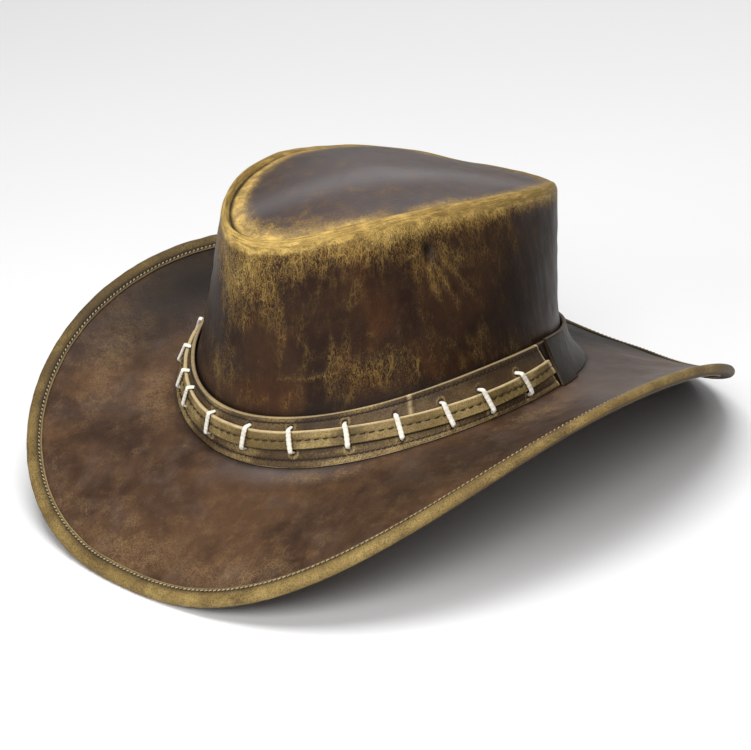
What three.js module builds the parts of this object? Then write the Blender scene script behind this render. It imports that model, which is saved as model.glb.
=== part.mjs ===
// Leather bush hat: a moulded crown, a saddle-shaped brim with a bound edge, and a laced two-strap band.
// Units are millimetres. The front of the hat faces -Y and the wearer's left is +X.
// The hat rests on the plane z = 0.
import * as THREE from "three";

// Crown sizes.
const CROWN_FOOT_LENGTH = 203.4;
const CROWN_FOOT_WIDTH = 176.4;
const CROWN_HEIGHT = 100;
const CROWN_THICKNESS = 2;
const TAPER = 38.4; // largest lean of the crown wall, from foot to crest
const FOOT_FLARE = 15; // largest spread of the wall just above the brim
const LIP_WIDTH = 5; // raised roll round the top of the wall
const LIP_HEIGHT = 5;
const CREASE_DEPTH = 2.8; // groove between the lip and the dome
const DOME_RISE = 18; // top of the dome above the front of the crest
const DOME_FORWARD = 16;

// Brim sizes.
const BRIM_WIDTH = 75.8; // crown foot to the middle of the bound edge, seen from above
const BRIM_DROP = 41.5; // front of the crown foot above the resting surface
const BRIM_LIFT = 76.4; // turned-up sides above the dipped front and back
const BRIM_BOW_DEPTH = 22; // four times the largest hollow between crown and edge
const SEAT_SADDLE = 17.5; // sides of the crown foot above its front
const BRIM_THICKNESS = 2.4;
const COLLAR_HEIGHT = 10; // seam allowance turned up inside the crown
const COLLAR_THICKNESS = 1.6;
const BINDING_WIDTH = 8.6;
const BINDING_THICKNESS = 1;
const REST_LEVEL = 2; // softens the start of the edge's rise, so that it lies level where it rests
const REST_PRESS = 0.5; // how far the binding is pressed flat where it rests

// Band sizes.
const BAND_WIDTH = 23.6;
const BAND_THICKNESS = 1.8;
const BAND_STANDOFF = 0.7; // extra room between band and crown along the top of the band
const BAND_HALF_LENGTH = 180; // front strap, from the front centre to the middle of each cut end
const END_SLANT_LENGTH = 12;
const STRAP_WIDTH = 8.8; // at the front
const STRAP_NARROWING = 1.6; // from the front to each cut end
const STRAP_START = 8.6; // above the foot of the band, at the front
const STRAP_SAG = { at: 75, spread: 50, drop: 3.6 }; // degrees to either side, and how much lower it lies there
const STRAP_THICKNESS = 1.8;
const KEEPER_WIDTH = 22;
const KEEPER_THICKNESS = 1.6;
const KEEPER_OVERHANG = 1.4; // keeper beyond the top of the band
const KEEPER_SLANT_SHARE = 0.6; // share of the front strap's slant that the keeper's near end follows
const LACE_WIDTH = 2.5;
const LACE_THICKNESS = 1.5;
const LACE_LENGTH = 12;
const LACE_PITCH = 24.2;

const CLEARANCE = 0.3; // gap between pieces that touch

// Sections round the hat, each a share of the size named beside its column. The rows run from the front
// over the wearer's left side to the back, 22.5 degrees apart, and the wearer's right side mirrors them.
//   foot: half of CROWN_FOOT_LENGTH and CROWN_FOOT_WIDTH     seat: SEAT_SADDLE     reach: BRIM_WIDTH
//   edge: BRIM_LIFT     crest: CROWN_HEIGHT     lean: TAPER     flare: FOOT_FLARE     lip: CREASE_DEPTH
//   bow: BRIM_BOW_DEPTH, positive where the brim hangs hollow and curls up, negative where it arches
const SECTION_COLUMNS = ["foot", "seat", "reach", "edge", "crest", "lean", "flare", "lip", "bow"];
const SECTIONS = [
  [1.024, 0, 0.932, 0, 1.012, 0.49, -0.1, 1, -0.53], // front
  [1.044, 0.17, 0.964, 0.12, 1.021, 0.65, 0.1, 1, -0.45],
  [1.08, 0.61, 0.946, 0.505, 0.989, 0.93, 0.39, 1, 0],
  [1.067, 0.98, 0.828, 0.88, 0.939, 1, 0.32, 0.75, 0.64],
  [1, 1, 0.787, 1, 0.927, 0.82, 0.1, 0.3, 1], // side
  [0.946, 0.75, 0.836, 0.882, 0.938, 0.54, 0.31, 0.1, 0.77],
  [0.941, 0.38, 0.926, 0.568, 0.934, 0.385, 0.75, 0, 0.18],
  [0.966, 0.05, 0.986, 0.176, 0.91, 0.43, 0.85, 0, -0.36],
  [0.975, -0.09, 0.995, 0, 0.904, 0.475, 0.8, 0, -0.5], // back
];

// Soft dents: where round the hat, how high (share of the crown wall), their spread and their depth.
// The first lets the far crest sag, and the others hollow the near wall under the crest.
const CREST_SAG = { at: -130, spread: 66, depth: 0.065 };
const WALL_DENTS = [
  { at: 68, high: 0.84, spread: 11, tall: 0.13, depth: 0.9 },
  { at: 76, high: 0.7, spread: 13, tall: 0.17, depth: 0.7 },
  { at: -60, high: 0.72, spread: 22, tall: 0.22, depth: 0.6 },
];
const DENT_DEPTH = 2.2;
const FLARE_SHARPNESS = 8; // power of the foot's flare: higher keeps it closer to the brim

// Laces: how many pitches each lies from the front centre, positive to the wearer's left, and its slant,
// which is how far its foot lies further round than its top.
const LACES = [
  [-6.45, -5],
  [-5.42, -5],
  [-4.3, -5],
  [-3.23, -5],
  [-2.28, -5],
  [-1.62, -4.6],
  [-0.51, -3.2],
  [0.52, -2.6],
  [1.52, 2],
  [2.62, 2.2],
  [3.62, 2.6],
  [4.58, 3.7],
  [5.44, 4.5],
  [6.44, 5.2],
];

const SECTION_COUNT = 64;
const DEGREE = Math.PI / 180;
const UP = new THREE.Vector3(0, 0, 1);

// A smooth even curve through the rows of one column: the sum of cosines that meets every row.
function curveThrough(rows) {
  const last = rows.length - 1;
  const half = (k) => (k === 0 || k === last ? 0.5 : 1);
  const waves = rows.map((_, k) => {
    const parts = rows.map((value, j) => half(j) * value * Math.cos((Math.PI * j * k) / last));
    const sum = parts.reduce((total, part) => total + part, 0);
    return (half(k) * 2 * sum) / last;
  });
  return (angle) => waves.reduce((total, wave, k) => total + wave * Math.cos(k * angle), 0);
}

const shares = Object.fromEntries(
  SECTION_COLUMNS.map((name, place) => [name, curveThrough(SECTIONS.map((section) => section[place]))]),
);

// A rounded hump that is 1 at its middle and 0 from one spread away.
function hump(distance, spread) {
  const x = Math.abs(distance) / spread;
  return x < 1 ? (1 + Math.cos(Math.PI * x)) / 2 : 0;
}

function turnFrom(angle, degrees) {
  const turn = angle / DEGREE - degrees;
  return turn - 360 * Math.round(turn / 360);
}

// The horizontal direction in which a section faces.
function outward(angle) {
  return new THREE.Vector3(Math.sin(angle), -Math.cos(angle), 0);
}

// Where the outside of the crown meets the top of the brim.
function footPoint(angle) {
  const share = shares.foot(angle);
  return new THREE.Vector3(
    (CROWN_FOOT_WIDTH / 2) * share * Math.sin(angle),
    (-CROWN_FOOT_LENGTH / 2) * share * Math.cos(angle),
    BRIM_DROP + SEAT_SADDLE * shares.seat(angle),
  );
}

function creaseDepth(angle) {
  return CREASE_DEPTH * shares.lip(angle);
}

// Height of the crest above the crown foot.
function crestHeight(angle) {
  const sag = CREST_SAG.depth * hump(turnFrom(angle, CREST_SAG.at), CREST_SAG.spread);
  return CROWN_HEIGHT * (shares.crest(angle) - sag) + creaseDepth(angle);
}

// Outside of the crown wall: high runs from 0 at the foot to 1 where the lip begins.
function wallPoint(angle, high) {
  const flare = 1 - (1 - high) ** FLARE_SHARPNESS - high;
  const lean = (TAPER * shares.lean(angle) - LIP_WIDTH) * high;
  const dent = WALL_DENTS.reduce(
    (total, d) => total + d.depth * hump(turnFrom(angle, d.at), d.spread) * hump(high - d.high, d.tall),
    0,
  );
  return footPoint(angle)
    .addScaledVector(outward(angle), -(lean + FOOT_FLARE * shares.flare(angle) * flare + DENT_DEPTH * dent))
    .addScaledVector(UP, (crestHeight(angle) - LIP_HEIGHT) * high);
}

// The lip: a quarter round up to the crest for the first half of roll, then an S down into the crease.
function lipPoint(angle, roll) {
  const rise = (Math.min(roll * 2, 1) * Math.PI) / 2;
  const fall = Math.max(roll * 2 - 1, 0);
  const inset = (LIP_WIDTH / 2) * (1 - Math.cos(rise) + fall);
  const height = LIP_HEIGHT * Math.sin(rise) - (creaseDepth(angle) * (1 - Math.cos(Math.PI * fall))) / 2;
  return wallPoint(angle, 1).addScaledVector(outward(angle), -inset).addScaledVector(UP, height);
}

const DOME_TOP = new THREE.Vector3(0, -DOME_FORWARD, BRIM_DROP + CROWN_HEIGHT + DOME_RISE);
const DOME_FULLNESS = 1.6;

// The dome inside the crease: inwards runs from 0 at the crease to 1 at the dome's top.
function domePoint(angle, inwards) {
  const crease = lipPoint(angle, 1);
  const point = crease.clone().lerp(DOME_TOP, inwards);
  const swell = 1 - (1 - inwards) ** DOME_FULLNESS;
  point.z = crease.z + (DOME_TOP.z - crease.z) * swell;
  return point;
}

// Half the thickness of the bound edge.
const EDGE_RADIUS = BRIM_THICKNESS / 2 + CLEARANCE + BINDING_THICKNESS;

// Height of the middle of the bound edge, which is a half round.
function edgeHeight(angle) {
  const rise = BRIM_LIFT * shares.edge(angle);
  return EDGE_RADIUS - REST_PRESS + rise ** 2 / (rise + REST_LEVEL);
}

// Top face of the brim: out runs from 0 at the crown foot to 1 at the middle of the bound edge.
function brimPoint(angle, out) {
  const foot = footPoint(angle);
  const edge = edgeHeight(angle) + BRIM_THICKNESS / 2;
  const bow = BRIM_BOW_DEPTH * shares.bow(angle);
  return foot
    .clone()
    .addScaledVector(outward(angle), BRIM_WIDTH * shares.reach(angle) * out)
    .addScaledVector(UP, (edge - foot.z) * out + bow * (out * out - out));
}

// The face's own direction at a point of a surface, from two short steps along it.
const STEP = 1e-3;
function faceNormal(surface, angle, along) {
  const round = surface(angle + STEP, along).sub(surface(angle - STEP, along));
  const up = surface(angle, along + STEP).sub(surface(angle, along - STEP));
  return round.cross(up).normalize();
}

function offset(surface, angle, along, distance) {
  return surface(angle, along).addScaledVector(faceNormal(surface, angle, along), distance);
}

// The brim's normal points up when taken the other way round.
function brimOffset(angle, out, distance) {
  return offset(brimPoint, angle, out, -distance);
}

// Share of the brim's width that a distance from the crown foot takes up.
function brimShare(angle, distance) {
  return distance / (BRIM_WIDTH * shares.reach(angle));
}

// Height share of the crown wall that lies a given length up its face.
const CLIMB_STEPS = 24;
const CLIMB_REACH = 0.45;
function wallShare(angle, length) {
  let climbed = 0;
  let last = wallPoint(angle, 0);
  for (let i = 1; i <= CLIMB_STEPS; i++) {
    const next = wallPoint(angle, (i * CLIMB_REACH) / CLIMB_STEPS);
    const step = next.distanceTo(last);
    if (climbed + step >= length) {
      return ((i - 1 + (length - climbed) / step) * CLIMB_REACH) / CLIMB_STEPS;
    }
    climbed += step;
    last = next;
  }
  return CLIMB_REACH;
}

// A point of the band: a length up the wall from the brim, and a distance out from the crown.
function bandPoint(angle, length, distance) {
  const gap = CLEARANCE + distance + (BAND_STANDOFF * length) / BAND_WIDTH;
  if (length > 0) return offset(wallPoint, angle, wallShare(angle, length), gap);
  return brimOffset(angle, brimShare(angle, gap), CLEARANCE);
}

// Turns a length along the middle of the band, from the front centre, into an angle.
const ARC_STEP = DEGREE / 2;
function bandAngle(length) {
  const side = Math.sign(length);
  let angle = 0;
  let travelled = 0;
  let last = bandPoint(0, BAND_WIDTH / 2, BAND_THICKNESS);
  while (travelled < Math.abs(length) && angle < Math.PI) {
    angle += ARC_STEP;
    const next = bandPoint(side * angle, BAND_WIDTH / 2, BAND_THICKNESS);
    travelled += next.distanceTo(last);
    last = next;
  }
  return side * angle;
}

// Joins rings of points into one closed skin. The rings follow each other in a closed round,
// or stop at two ends that are capped.
function skin(rings, closed) {
  const size = rings[0].length;
  const points = rings.flat();
  const faces = [];
  const turns = closed ? rings.length : rings.length - 1;
  for (let i = 0; i < turns; i++) {
    const here = i * size;
    const next = ((i + 1) % rings.length) * size;
    for (let j = 0; j < size; j++) {
      const k = (j + 1) % size;
      faces.push(here + j, next + j, next + k, here + j, next + k, here + k);
    }
  }
  if (!closed) {
    const end = (rings.length - 1) * size;
    for (let j = 1; j < size - 1; j++) {
      faces.push(0, j, j + 1);
      faces.push(end, end + j + 1, end + j);
    }
  }
  return solid(points, faces);
}

// A geometry from points and faces, turned to face outwards.
function solid(points, faces) {
  let volume = 0;
  for (let i = 0; i < faces.length; i += 3) {
    const [a, b, c] = [points[faces[i]], points[faces[i + 1]], points[faces[i + 2]]];
    volume += a.dot(b.clone().cross(c));
  }
  const index = volume > 0 ? faces : faces.slice().reverse();
  const geometry = new THREE.BufferGeometry().setFromPoints(points);
  geometry.setIndex(index);
  geometry.computeVertexNormals();
  return geometry;
}

const allAngles = Array.from({ length: SECTION_COUNT }, (_, i) => (i * 2 * Math.PI) / SECTION_COUNT);

const FEWEST_STEPS = 6;

// Angles from one end of a strap to the other, at about the spacing of the sections.
function anglesBetween(from, to) {
  const count = Math.max(FEWEST_STEPS, Math.ceil(((to - from) * SECTION_COUNT) / (2 * Math.PI)));
  return Array.from({ length: count + 1 }, (_, i) => from + ((to - from) * i) / count);
}

// Crown: one moulded shell, open at the foot. The inside skips the lip, where the leather is pinched thick.
const WALL_ROWS = [0.05, 0.12, 0.21, 0.33, 0.48, 0.62, 0.74, 0.85, 0.94, 1];
const LIP_ROWS = [0.2, 0.4, 0.55, 0.75, 1];
const DOME_ROWS = [0.1, 0.24, 0.42, 0.62, 0.82];
const INSIDE_WALL_ROWS = [0.12, 0.3, 0.5, 0.7, 0.86, 0.96];
const INSIDE_DOME_ROWS = [0.08, 0.24, 0.48, 0.74];

function crownGeometry() {
  const inset = CROWN_THICKNESS;
  const rings = allAngles.map((angle) => [
    ...INSIDE_DOME_ROWS.toReversed().map((inwards) => offset(domePoint, angle, inwards, -inset)),
    ...INSIDE_WALL_ROWS.toReversed().map((high) => offset(wallPoint, angle, high, -inset)),
    brimOffset(angle, brimShare(angle, -inset), CLEARANCE),
    brimOffset(angle, 0, CLEARANCE),
    ...WALL_ROWS.map((high) => wallPoint(angle, high)),
    ...LIP_ROWS.map((roll) => lipPoint(angle, roll)),
    ...DOME_ROWS.map((inwards) => domePoint(angle, inwards)),
  ]);
  const size = rings[0].length;
  const points = rings.flat();
  const inside = points.length;
  points.push(DOME_TOP.clone().addScaledVector(UP, -inset), DOME_TOP.clone());
  const faces = [];
  rings.forEach((_, i) => {
    const here = i * size;
    const next = ((i + 1) % rings.length) * size;
    for (let j = 0; j < size - 1; j++) {
      faces.push(here + j, next + j, next + j + 1, here + j, next + j + 1, here + j + 1);
    }
    faces.push(inside, next, here);
    faces.push(inside + 1, here + size - 1, next + size - 1);
  });
  return solid(points, faces);
}

// Where a distance in from the hat's outline lies on the brim, as a share of its width.
function shareFromOutline(angle, distance) {
  const length = brimPoint(angle, 1).distanceTo(brimPoint(angle, 1 - STEP)) / STEP;
  return 1 + (EDGE_RADIUS - distance) / length;
}

// Leather is pressed flat where it would reach below the resting surface.
function restOnSurface(points) {
  return points.map((point) => point.setZ(Math.max(point.z, 0)));
}

// Brim: a flat-cut sheet from the collar inside the crown out to just inside the binding.
const BRIM_ROWS = [0.1, 0.22, 0.36, 0.52, 0.68, 0.8, 0.92];

function brimGeometry() {
  const collarOutside = CROWN_THICKNESS + CLEARANCE;
  const collarInside = collarOutside + COLLAR_THICKNESS;
  const bend = COLLAR_THICKNESS + CLEARANCE;
  const rings = allAngles.map((angle) => {
    const cut = shareFromOutline(angle, BINDING_THICKNESS + CLEARANCE);
    const top = wallShare(angle, COLLAR_HEIGHT);
    const low = wallShare(angle, bend);
    const root = brimShare(angle, -collarOutside);
    const inner = brimShare(angle, -collarInside);
    return [
      offset(wallPoint, angle, top, -collarInside),
      offset(wallPoint, angle, top, -collarOutside),
      offset(wallPoint, angle, low, -collarOutside),
      brimPoint(angle, root),
      ...BRIM_ROWS.map((out) => brimPoint(angle, out)),
      brimPoint(angle, cut),
      brimOffset(angle, cut, -BRIM_THICKNESS),
      ...BRIM_ROWS.toReversed().map((out) => brimOffset(angle, out, -BRIM_THICKNESS)),
      brimOffset(angle, inner, -BRIM_THICKNESS),
      offset(wallPoint, angle, low, -collarInside),
    ];
  });
  return skin(rings, true);
}

// Binding: a folded strip round the brim's edge, with a rounded outside. Its rings run the other way round,
// so that its inside is split into the same triangles as the brim that it holds.
const EDGE_ROUND = [60, 20, -12, -38, -55, -72, -90];

function bindingGeometry() {
  const near = CLEARANCE;
  const far = CLEARANCE + BINDING_THICKNESS;
  const rings = allAngles.map((angle) => {
    const inner = shareFromOutline(angle, BINDING_WIDTH);
    const fold = shareFromOutline(angle, BINDING_THICKNESS);
    const centre = brimOffset(angle, 1, -BRIM_THICKNESS / 2);
    const normal = faceNormal(brimPoint, angle, 1).negate();
    const along = brimPoint(angle + STEP, 1).sub(brimPoint(angle - STEP, 1)).normalize();
    const away = along.cross(normal).normalize();
    if (away.dot(outward(angle)) < 0) away.negate();
    const round = EDGE_ROUND.map((degrees) =>
      centre
        .clone()
        .addScaledVector(away, EDGE_RADIUS * Math.cos(degrees * DEGREE))
        .addScaledVector(normal, EDGE_RADIUS * Math.sin(degrees * DEGREE)),
    );
    return restOnSurface([
      brimOffset(angle, inner, near),
      brimOffset(angle, inner, far),
      brimOffset(angle, 1, far),
      ...round,
      brimOffset(angle, inner, -BRIM_THICKNESS - far),
      brimOffset(angle, inner, -BRIM_THICKNESS - near),
      brimOffset(angle, fold, -BRIM_THICKNESS - near),
      brimOffset(angle, fold, near),
    ]);
  });
  return skin(rings.reverse(), true);
}

// A strap lying on the band's cone, with either end cut on a slant of its own.
// A positive slant carries the foot of the strap further round than its top.
function strapGeometry({ from, to, fromSlant, toSlant, edges, inner, outer, steps = 2 }) {
  const rings = anglesBetween(from, to).map((angle, i, all) => {
    const lean = THREE.MathUtils.lerp(fromSlant, toSlant, i / (all.length - 1));
    const [low, high] = edges(angle);
    const at = (length) => angle + lean * (0.5 - length / BAND_WIDTH);
    const lengths = Array.from({ length: steps + 1 }, (_, k) => low + ((high - low) * k) / steps);
    const face = lengths.map((length) => bandPoint(at(length), length, outer));
    const back = lengths.map((length) => bandPoint(at(length), length, inner));
    return [...face, ...back.reverse()];
  });
  return skin(rings, false);
}

const endAngle = bandAngle(BAND_HALF_LENGTH);
const endFoot = BAND_HALF_LENGTH + END_SLANT_LENGTH / 2;
const endSlant = bandAngle(endFoot) - bandAngle(endFoot - END_SLANT_LENGTH);
const jointGap = CLEARANCE / (CROWN_FOOT_WIDTH / 2);

const frontSpan = { from: -endAngle, to: endAngle, fromSlant: -endSlant, toSlant: endSlant };
const strapInner = BAND_THICKNESS + CLEARANCE;
const strapOuter = strapInner + STRAP_THICKNESS;

const bandEdges = () => [0, BAND_WIDTH];
const keeperEdges = () => [0, BAND_WIDTH + KEEPER_OVERHANG];

// The lower and upper edge of the middle strap, which narrows and sags towards its cut ends.
function strapEdges(angle) {
  const turn = Math.abs(turnFrom(angle, 0));
  const low = STRAP_START - STRAP_SAG.drop * hump(turn - STRAP_SAG.at, STRAP_SAG.spread);
  const width = STRAP_WIDTH - (STRAP_NARROWING * turn * DEGREE) / endAngle;
  return [low, low + width];
}

// A lace: a flat cord that climbs over the middle strap and dips to the band at both ends.
const LACE_PLACES = [0, 0.09, 0.3, 0.5, 0.7, 0.91, 1];
const LACE_SIDES = 6;

function laceGeometry(station, slant) {
  const centreAngle = bandAngle(station * LACE_PITCH);
  const [strapLow, strapHigh] = strapEdges(centreAngle);
  const low = (strapLow + strapHigh - LACE_LENGTH) / 2;
  const perLength = bandAngle(LACE_PITCH) / LACE_PITCH;
  const path = LACE_PLACES.map((t) => {
    const angle = centreAngle + slant * perLength * (0.5 - t);
    const length = low + LACE_LENGTH * t;
    const resting = BAND_THICKNESS + CLEARANCE + LACE_THICKNESS / 2;
    const over = t > 0 && t < 1;
    return { angle, length, out: over ? resting + STRAP_THICKNESS + CLEARANCE : resting };
  });
  const centres = path.map((p) => bandPoint(p.angle, p.length, p.out));
  const rings = centres.map((centre, i) => {
    const before = centres[Math.max(i - 1, 0)];
    const after = centres[Math.min(i + 1, centres.length - 1)];
    const along = after.clone().sub(before).normalize();
    const side = outward(path[i].angle).cross(along).normalize();
    const up = along.clone().cross(side).normalize();
    const taper = i === 0 || i === centres.length - 1 ? 0.7 : 1;
    return Array.from({ length: LACE_SIDES }, (_, k) => {
      const turn = ((k + 0.5) * 2 * Math.PI) / LACE_SIDES;
      return centre
        .clone()
        .addScaledVector(side, (LACE_WIDTH / 2) * taper * Math.cos(turn))
        .addScaledVector(up, (LACE_THICKNESS / 2) * taper * Math.sin(turn));
    });
  });
  return skin(rings, false);
}

// Leathers and cord.
const crownLeather = new THREE.MeshStandardMaterial({ color: 0x3d2c1d, roughness: 0.45, metalness: 0 });
const brimLeather = new THREE.MeshStandardMaterial({ color: 0x54402f, roughness: 0.5, metalness: 0 });
const bindingLeather = new THREE.MeshStandardMaterial({ color: 0x9a8148, roughness: 0.65, metalness: 0 });
const bandLeather = new THREE.MeshStandardMaterial({ color: 0x7d6540, roughness: 0.6, metalness: 0 });
const strapLeather = new THREE.MeshStandardMaterial({ color: 0x8f7648, roughness: 0.6, metalness: 0 });
const keeperLeather = new THREE.MeshStandardMaterial({ color: 0x4c423b, roughness: 0.45, metalness: 0 });
const waxedCord = new THREE.MeshStandardMaterial({ color: 0xf0ebdc, roughness: 0.7, metalness: 0 });

const hat = new THREE.Group();

function addPiece(name, geometry, material) {
  const mesh = new THREE.Mesh(geometry, material.clone());
  mesh.name = name;
  hat.add(mesh);
}

addPiece("crown", crownGeometry(), crownLeather);
addPiece("brim", brimGeometry(), brimLeather);
addPiece("brim_binding", bindingGeometry(), bindingLeather);

addPiece(
  "band_front",
  strapGeometry({ ...frontSpan, edges: bandEdges, inner: 0, outer: BAND_THICKNESS, steps: 4 }),
  bandLeather,
);
addPiece(
  "band_middle_strap",
  strapGeometry({ ...frontSpan, edges: strapEdges, inner: strapInner, outer: strapOuter }),
  strapLeather,
);
addPiece(
  "band_back",
  strapGeometry({
    from: endAngle + jointGap,
    to: 2 * Math.PI - endAngle - jointGap,
    fromSlant: endSlant,
    toSlant: -endSlant,
    edges: bandEdges,
    inner: 0,
    outer: BAND_THICKNESS,
  }),
  keeperLeather,
);

// Two plain keepers cover the joints between the front strap and the back strap.
const keeperTurn = bandAngle(BAND_HALF_LENGTH + KEEPER_WIDTH) - endAngle;
for (const side of [1, -1]) {
  const near = side * (endAngle + 2 * jointGap + endSlant / 4);
  const far = near + side * keeperTurn;
  const nearSlant = side * endSlant * KEEPER_SLANT_SHARE;
  const leftSide = side > 0;
  addPiece(
    leftSide ? "keeper_left" : "keeper_right",
    strapGeometry({
      from: leftSide ? near : far,
      to: leftSide ? far : near,
      fromSlant: leftSide ? nearSlant : 0,
      toSlant: leftSide ? 0 : nearSlant,
      edges: keeperEdges,
      inner: strapInner,
      outer: strapInner + KEEPER_THICKNESS,
    }),
    keeperLeather,
  );
}

LACES.forEach(([station, slant], i) => {
  addPiece("lace_" + String(i + 1).padStart(2, "0"), laceGeometry(station, slant), waxedCord);
});

export default hat;
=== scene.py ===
# %% [markdown]
# # A leather bush hat
# A bush hat is three pieces of leather: a crown moulded over a block, a flat-cut brim that is
# sewn to it and steamed into a saddle, and a folded strip that binds the brim's edge. A band
# of two straps sits round the foot of the crown, sewn along its edges and laced with pale cord.
#
# The imported model gives the frame: its solids say how large each piece is and where it sits.
# This lesson lays a finer skin over each of them, with leather, stitches and wear.

# %% Load the frame
import math

import bpy
import numpy as np
from mathutils import Matrix, Vector


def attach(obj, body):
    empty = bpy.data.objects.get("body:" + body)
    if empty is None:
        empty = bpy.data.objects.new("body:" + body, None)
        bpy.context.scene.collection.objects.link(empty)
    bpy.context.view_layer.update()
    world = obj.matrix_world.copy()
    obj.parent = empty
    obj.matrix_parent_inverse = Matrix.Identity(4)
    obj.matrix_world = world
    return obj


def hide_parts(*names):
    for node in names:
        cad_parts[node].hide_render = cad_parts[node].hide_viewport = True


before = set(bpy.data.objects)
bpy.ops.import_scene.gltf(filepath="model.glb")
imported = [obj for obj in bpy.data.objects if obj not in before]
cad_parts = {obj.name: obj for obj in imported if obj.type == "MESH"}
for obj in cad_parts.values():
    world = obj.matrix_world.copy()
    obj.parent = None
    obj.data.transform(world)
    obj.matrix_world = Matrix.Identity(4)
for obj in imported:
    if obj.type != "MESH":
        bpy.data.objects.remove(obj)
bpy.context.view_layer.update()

MM = 0.001

# %% [markdown]
# ## Sections round the hat
# A hat maker thinks of a hat as sections: what the crown and brim do at the front, at the
# temple, at the side and at the back. Each row below gives such a section, as shares of a
# few named sizes, and both sides of the hat mirror each other. A sum of cosines through the
# rows gives a curve that is smooth all the way round, with no seam where it closes.

# %% Sizes and sections
CROWN_FOOT_LENGTH, CROWN_FOOT_WIDTH, CROWN_HEIGHT, CROWN_THICKNESS = 203.4, 176.4, 100, 2
TAPER, FOOT_FLARE, FLARE_SHARPNESS = 38.4, 15, 8
LIP_WIDTH, LIP_HEIGHT, CREASE_DEPTH = 5, 5, 2.8
DOME_RISE, DOME_FORWARD, DOME_FULLNESS, DENT_DEPTH = 18, 16, 1.6, 2.2
BRIM_WIDTH, BRIM_DROP, BRIM_LIFT, BRIM_BOW, SEAT_SADDLE = 75.8, 41.5, 76.4, 22, 17.5
BRIM_THICKNESS, COLLAR_HEIGHT, COLLAR_THICKNESS = 2.4, 10, 1.6
BINDING_WIDTH, BINDING_THICKNESS, REST_LEVEL, REST_PRESS = 8.6, 1, 2, 0.5
CREST_SAG_AT, CREST_SAG_SPREAD, CREST_SAG_DEPTH = -130, 66, 0.065
CLEARANCE = 0.3
EDGE_RADIUS = BRIM_THICKNESS / 2 + CLEARANCE + BINDING_THICKNESS

# Front, then every 22.5 degrees over the wearer's left side to the back.
SECTIONS = {
    "foot": [1.024, 1.044, 1.08, 1.067, 1, 0.946, 0.941, 0.966, 0.975],
    "seat": [0, 0.17, 0.61, 0.98, 1, 0.75, 0.38, 0.05, -0.09],
    "reach": [0.932, 0.964, 0.946, 0.828, 0.787, 0.836, 0.926, 0.986, 0.995],
    "edge": [0, 0.12, 0.505, 0.88, 1, 0.882, 0.568, 0.176, 0],
    "crest": [1.012, 1.021, 0.989, 0.939, 0.927, 0.938, 0.934, 0.91, 0.904],
    "lean": [0.49, 0.65, 0.93, 1, 0.82, 0.54, 0.385, 0.43, 0.475],
    "flare": [-0.1, 0.1, 0.39, 0.32, 0.1, 0.31, 0.75, 0.85, 0.8],
    "lip": [1, 1, 1, 0.75, 0.3, 0.1, 0, 0, 0],
    "bow": [-0.53, -0.45, 0, 0.64, 1, 0.77, 0.18, -0.36, -0.5],
}
# Dents of the wall: degrees, share of the wall's height, spread, share tall, share of DENT_DEPTH.
WALL_DENTS = [(68, 0.84, 11, 0.13, 0.9), (76, 0.7, 13, 0.17, 0.7), (-60, 0.72, 22, 0.22, 0.6)]


def waves_of(rows):
    """The heights of the cosine waves whose sum meets every row:
    wave_k = 2/n * half_k * sum over j of half_j * row_j * cos(pi*j*k/n), where half is 1/2 for the first and last."""
    k = np.arange(len(rows))
    half = np.where((k == 0) | (k == k[-1]), 0.5, 1.0)
    return 2 / k[-1] * half * ((half * np.array(rows)) @ np.cos(np.pi * np.outer(k, k) / k[-1]))


WAVES = {name: waves_of(rows) for name, rows in SECTIONS.items()}


def share(name, angle):
    """The share at an angle: the sum over k of wave_k * cos(k * angle)."""
    return np.cos(np.multiply.outer(angle, np.arange(len(WAVES[name])))) @ WAVES[name]


print("sections: brim edge lifts", round(float(BRIM_LIFT * share("edge", np.radians(90.0))), 1), "mm at the side")

# %% [markdown]
# ## The crown and brim as functions
# Blocking leather could be imitated by sculpting, but the wall, the rolled lip, the crease,
# the dome and the brim are each a simple curve once the section is known. So each is a
# function of two numbers: the angle round the hat and how far along the section a point lies.

# %% Points of the crown and the brim


def outward(angle):
    """The level direction a section faces: (sin angle, -cos angle, 0)."""
    return np.stack([np.sin(angle), -np.cos(angle), np.zeros_like(angle)], -1)


def raised(points, height):
    """The points, lifted by a height: z + height."""
    return points + np.stack([np.zeros_like(height), np.zeros_like(height), height], -1)


def hump(distance, spread):
    """A rounded hump: (1 + cos(pi * distance / spread)) / 2 within one spread, and 0 beyond it."""
    return (1 + np.cos(np.pi * np.minimum(np.abs(distance) / spread, 1))) / 2


def turn_from(angle, degrees):
    """Degrees from a place round the hat, between -180 and 180."""
    turn = np.degrees(angle) - degrees
    return turn - 360 * np.round(turn / 360)


def patches(angle, along, table):
    """The sum of soft oval patches: amount * hump(angle - at) * hump(along - place)."""
    total = np.zeros(np.broadcast(angle, along).shape)
    for at, place, spread, tall, amount in table:
        total += amount * hump(turn_from(angle, at), spread) * hump(along - place, tall)
    return total


def foot_point(angle):
    """The crown's foot: an oval of half width W/2 and half length L/2, scaled by foot(angle), at the
    saddle's height."""
    oval = share("foot", angle)
    return np.stack(
        [
            CROWN_FOOT_WIDTH / 2 * oval * np.sin(angle),
            -CROWN_FOOT_LENGTH / 2 * oval * np.cos(angle),
            BRIM_DROP + SEAT_SADDLE * share("seat", angle),
        ],
        -1,
    )


def crest_height(angle):
    """Crest above the foot: CROWN_HEIGHT * (crest - sag) + CREASE_DEPTH * lip, with a sag on the right at the back."""
    sag = CREST_SAG_DEPTH * hump(turn_from(angle, CREST_SAG_AT), CREST_SAG_SPREAD)
    return CROWN_HEIGHT * (share("crest", angle) - sag) + CREASE_DEPTH * share("lip", angle)


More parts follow.
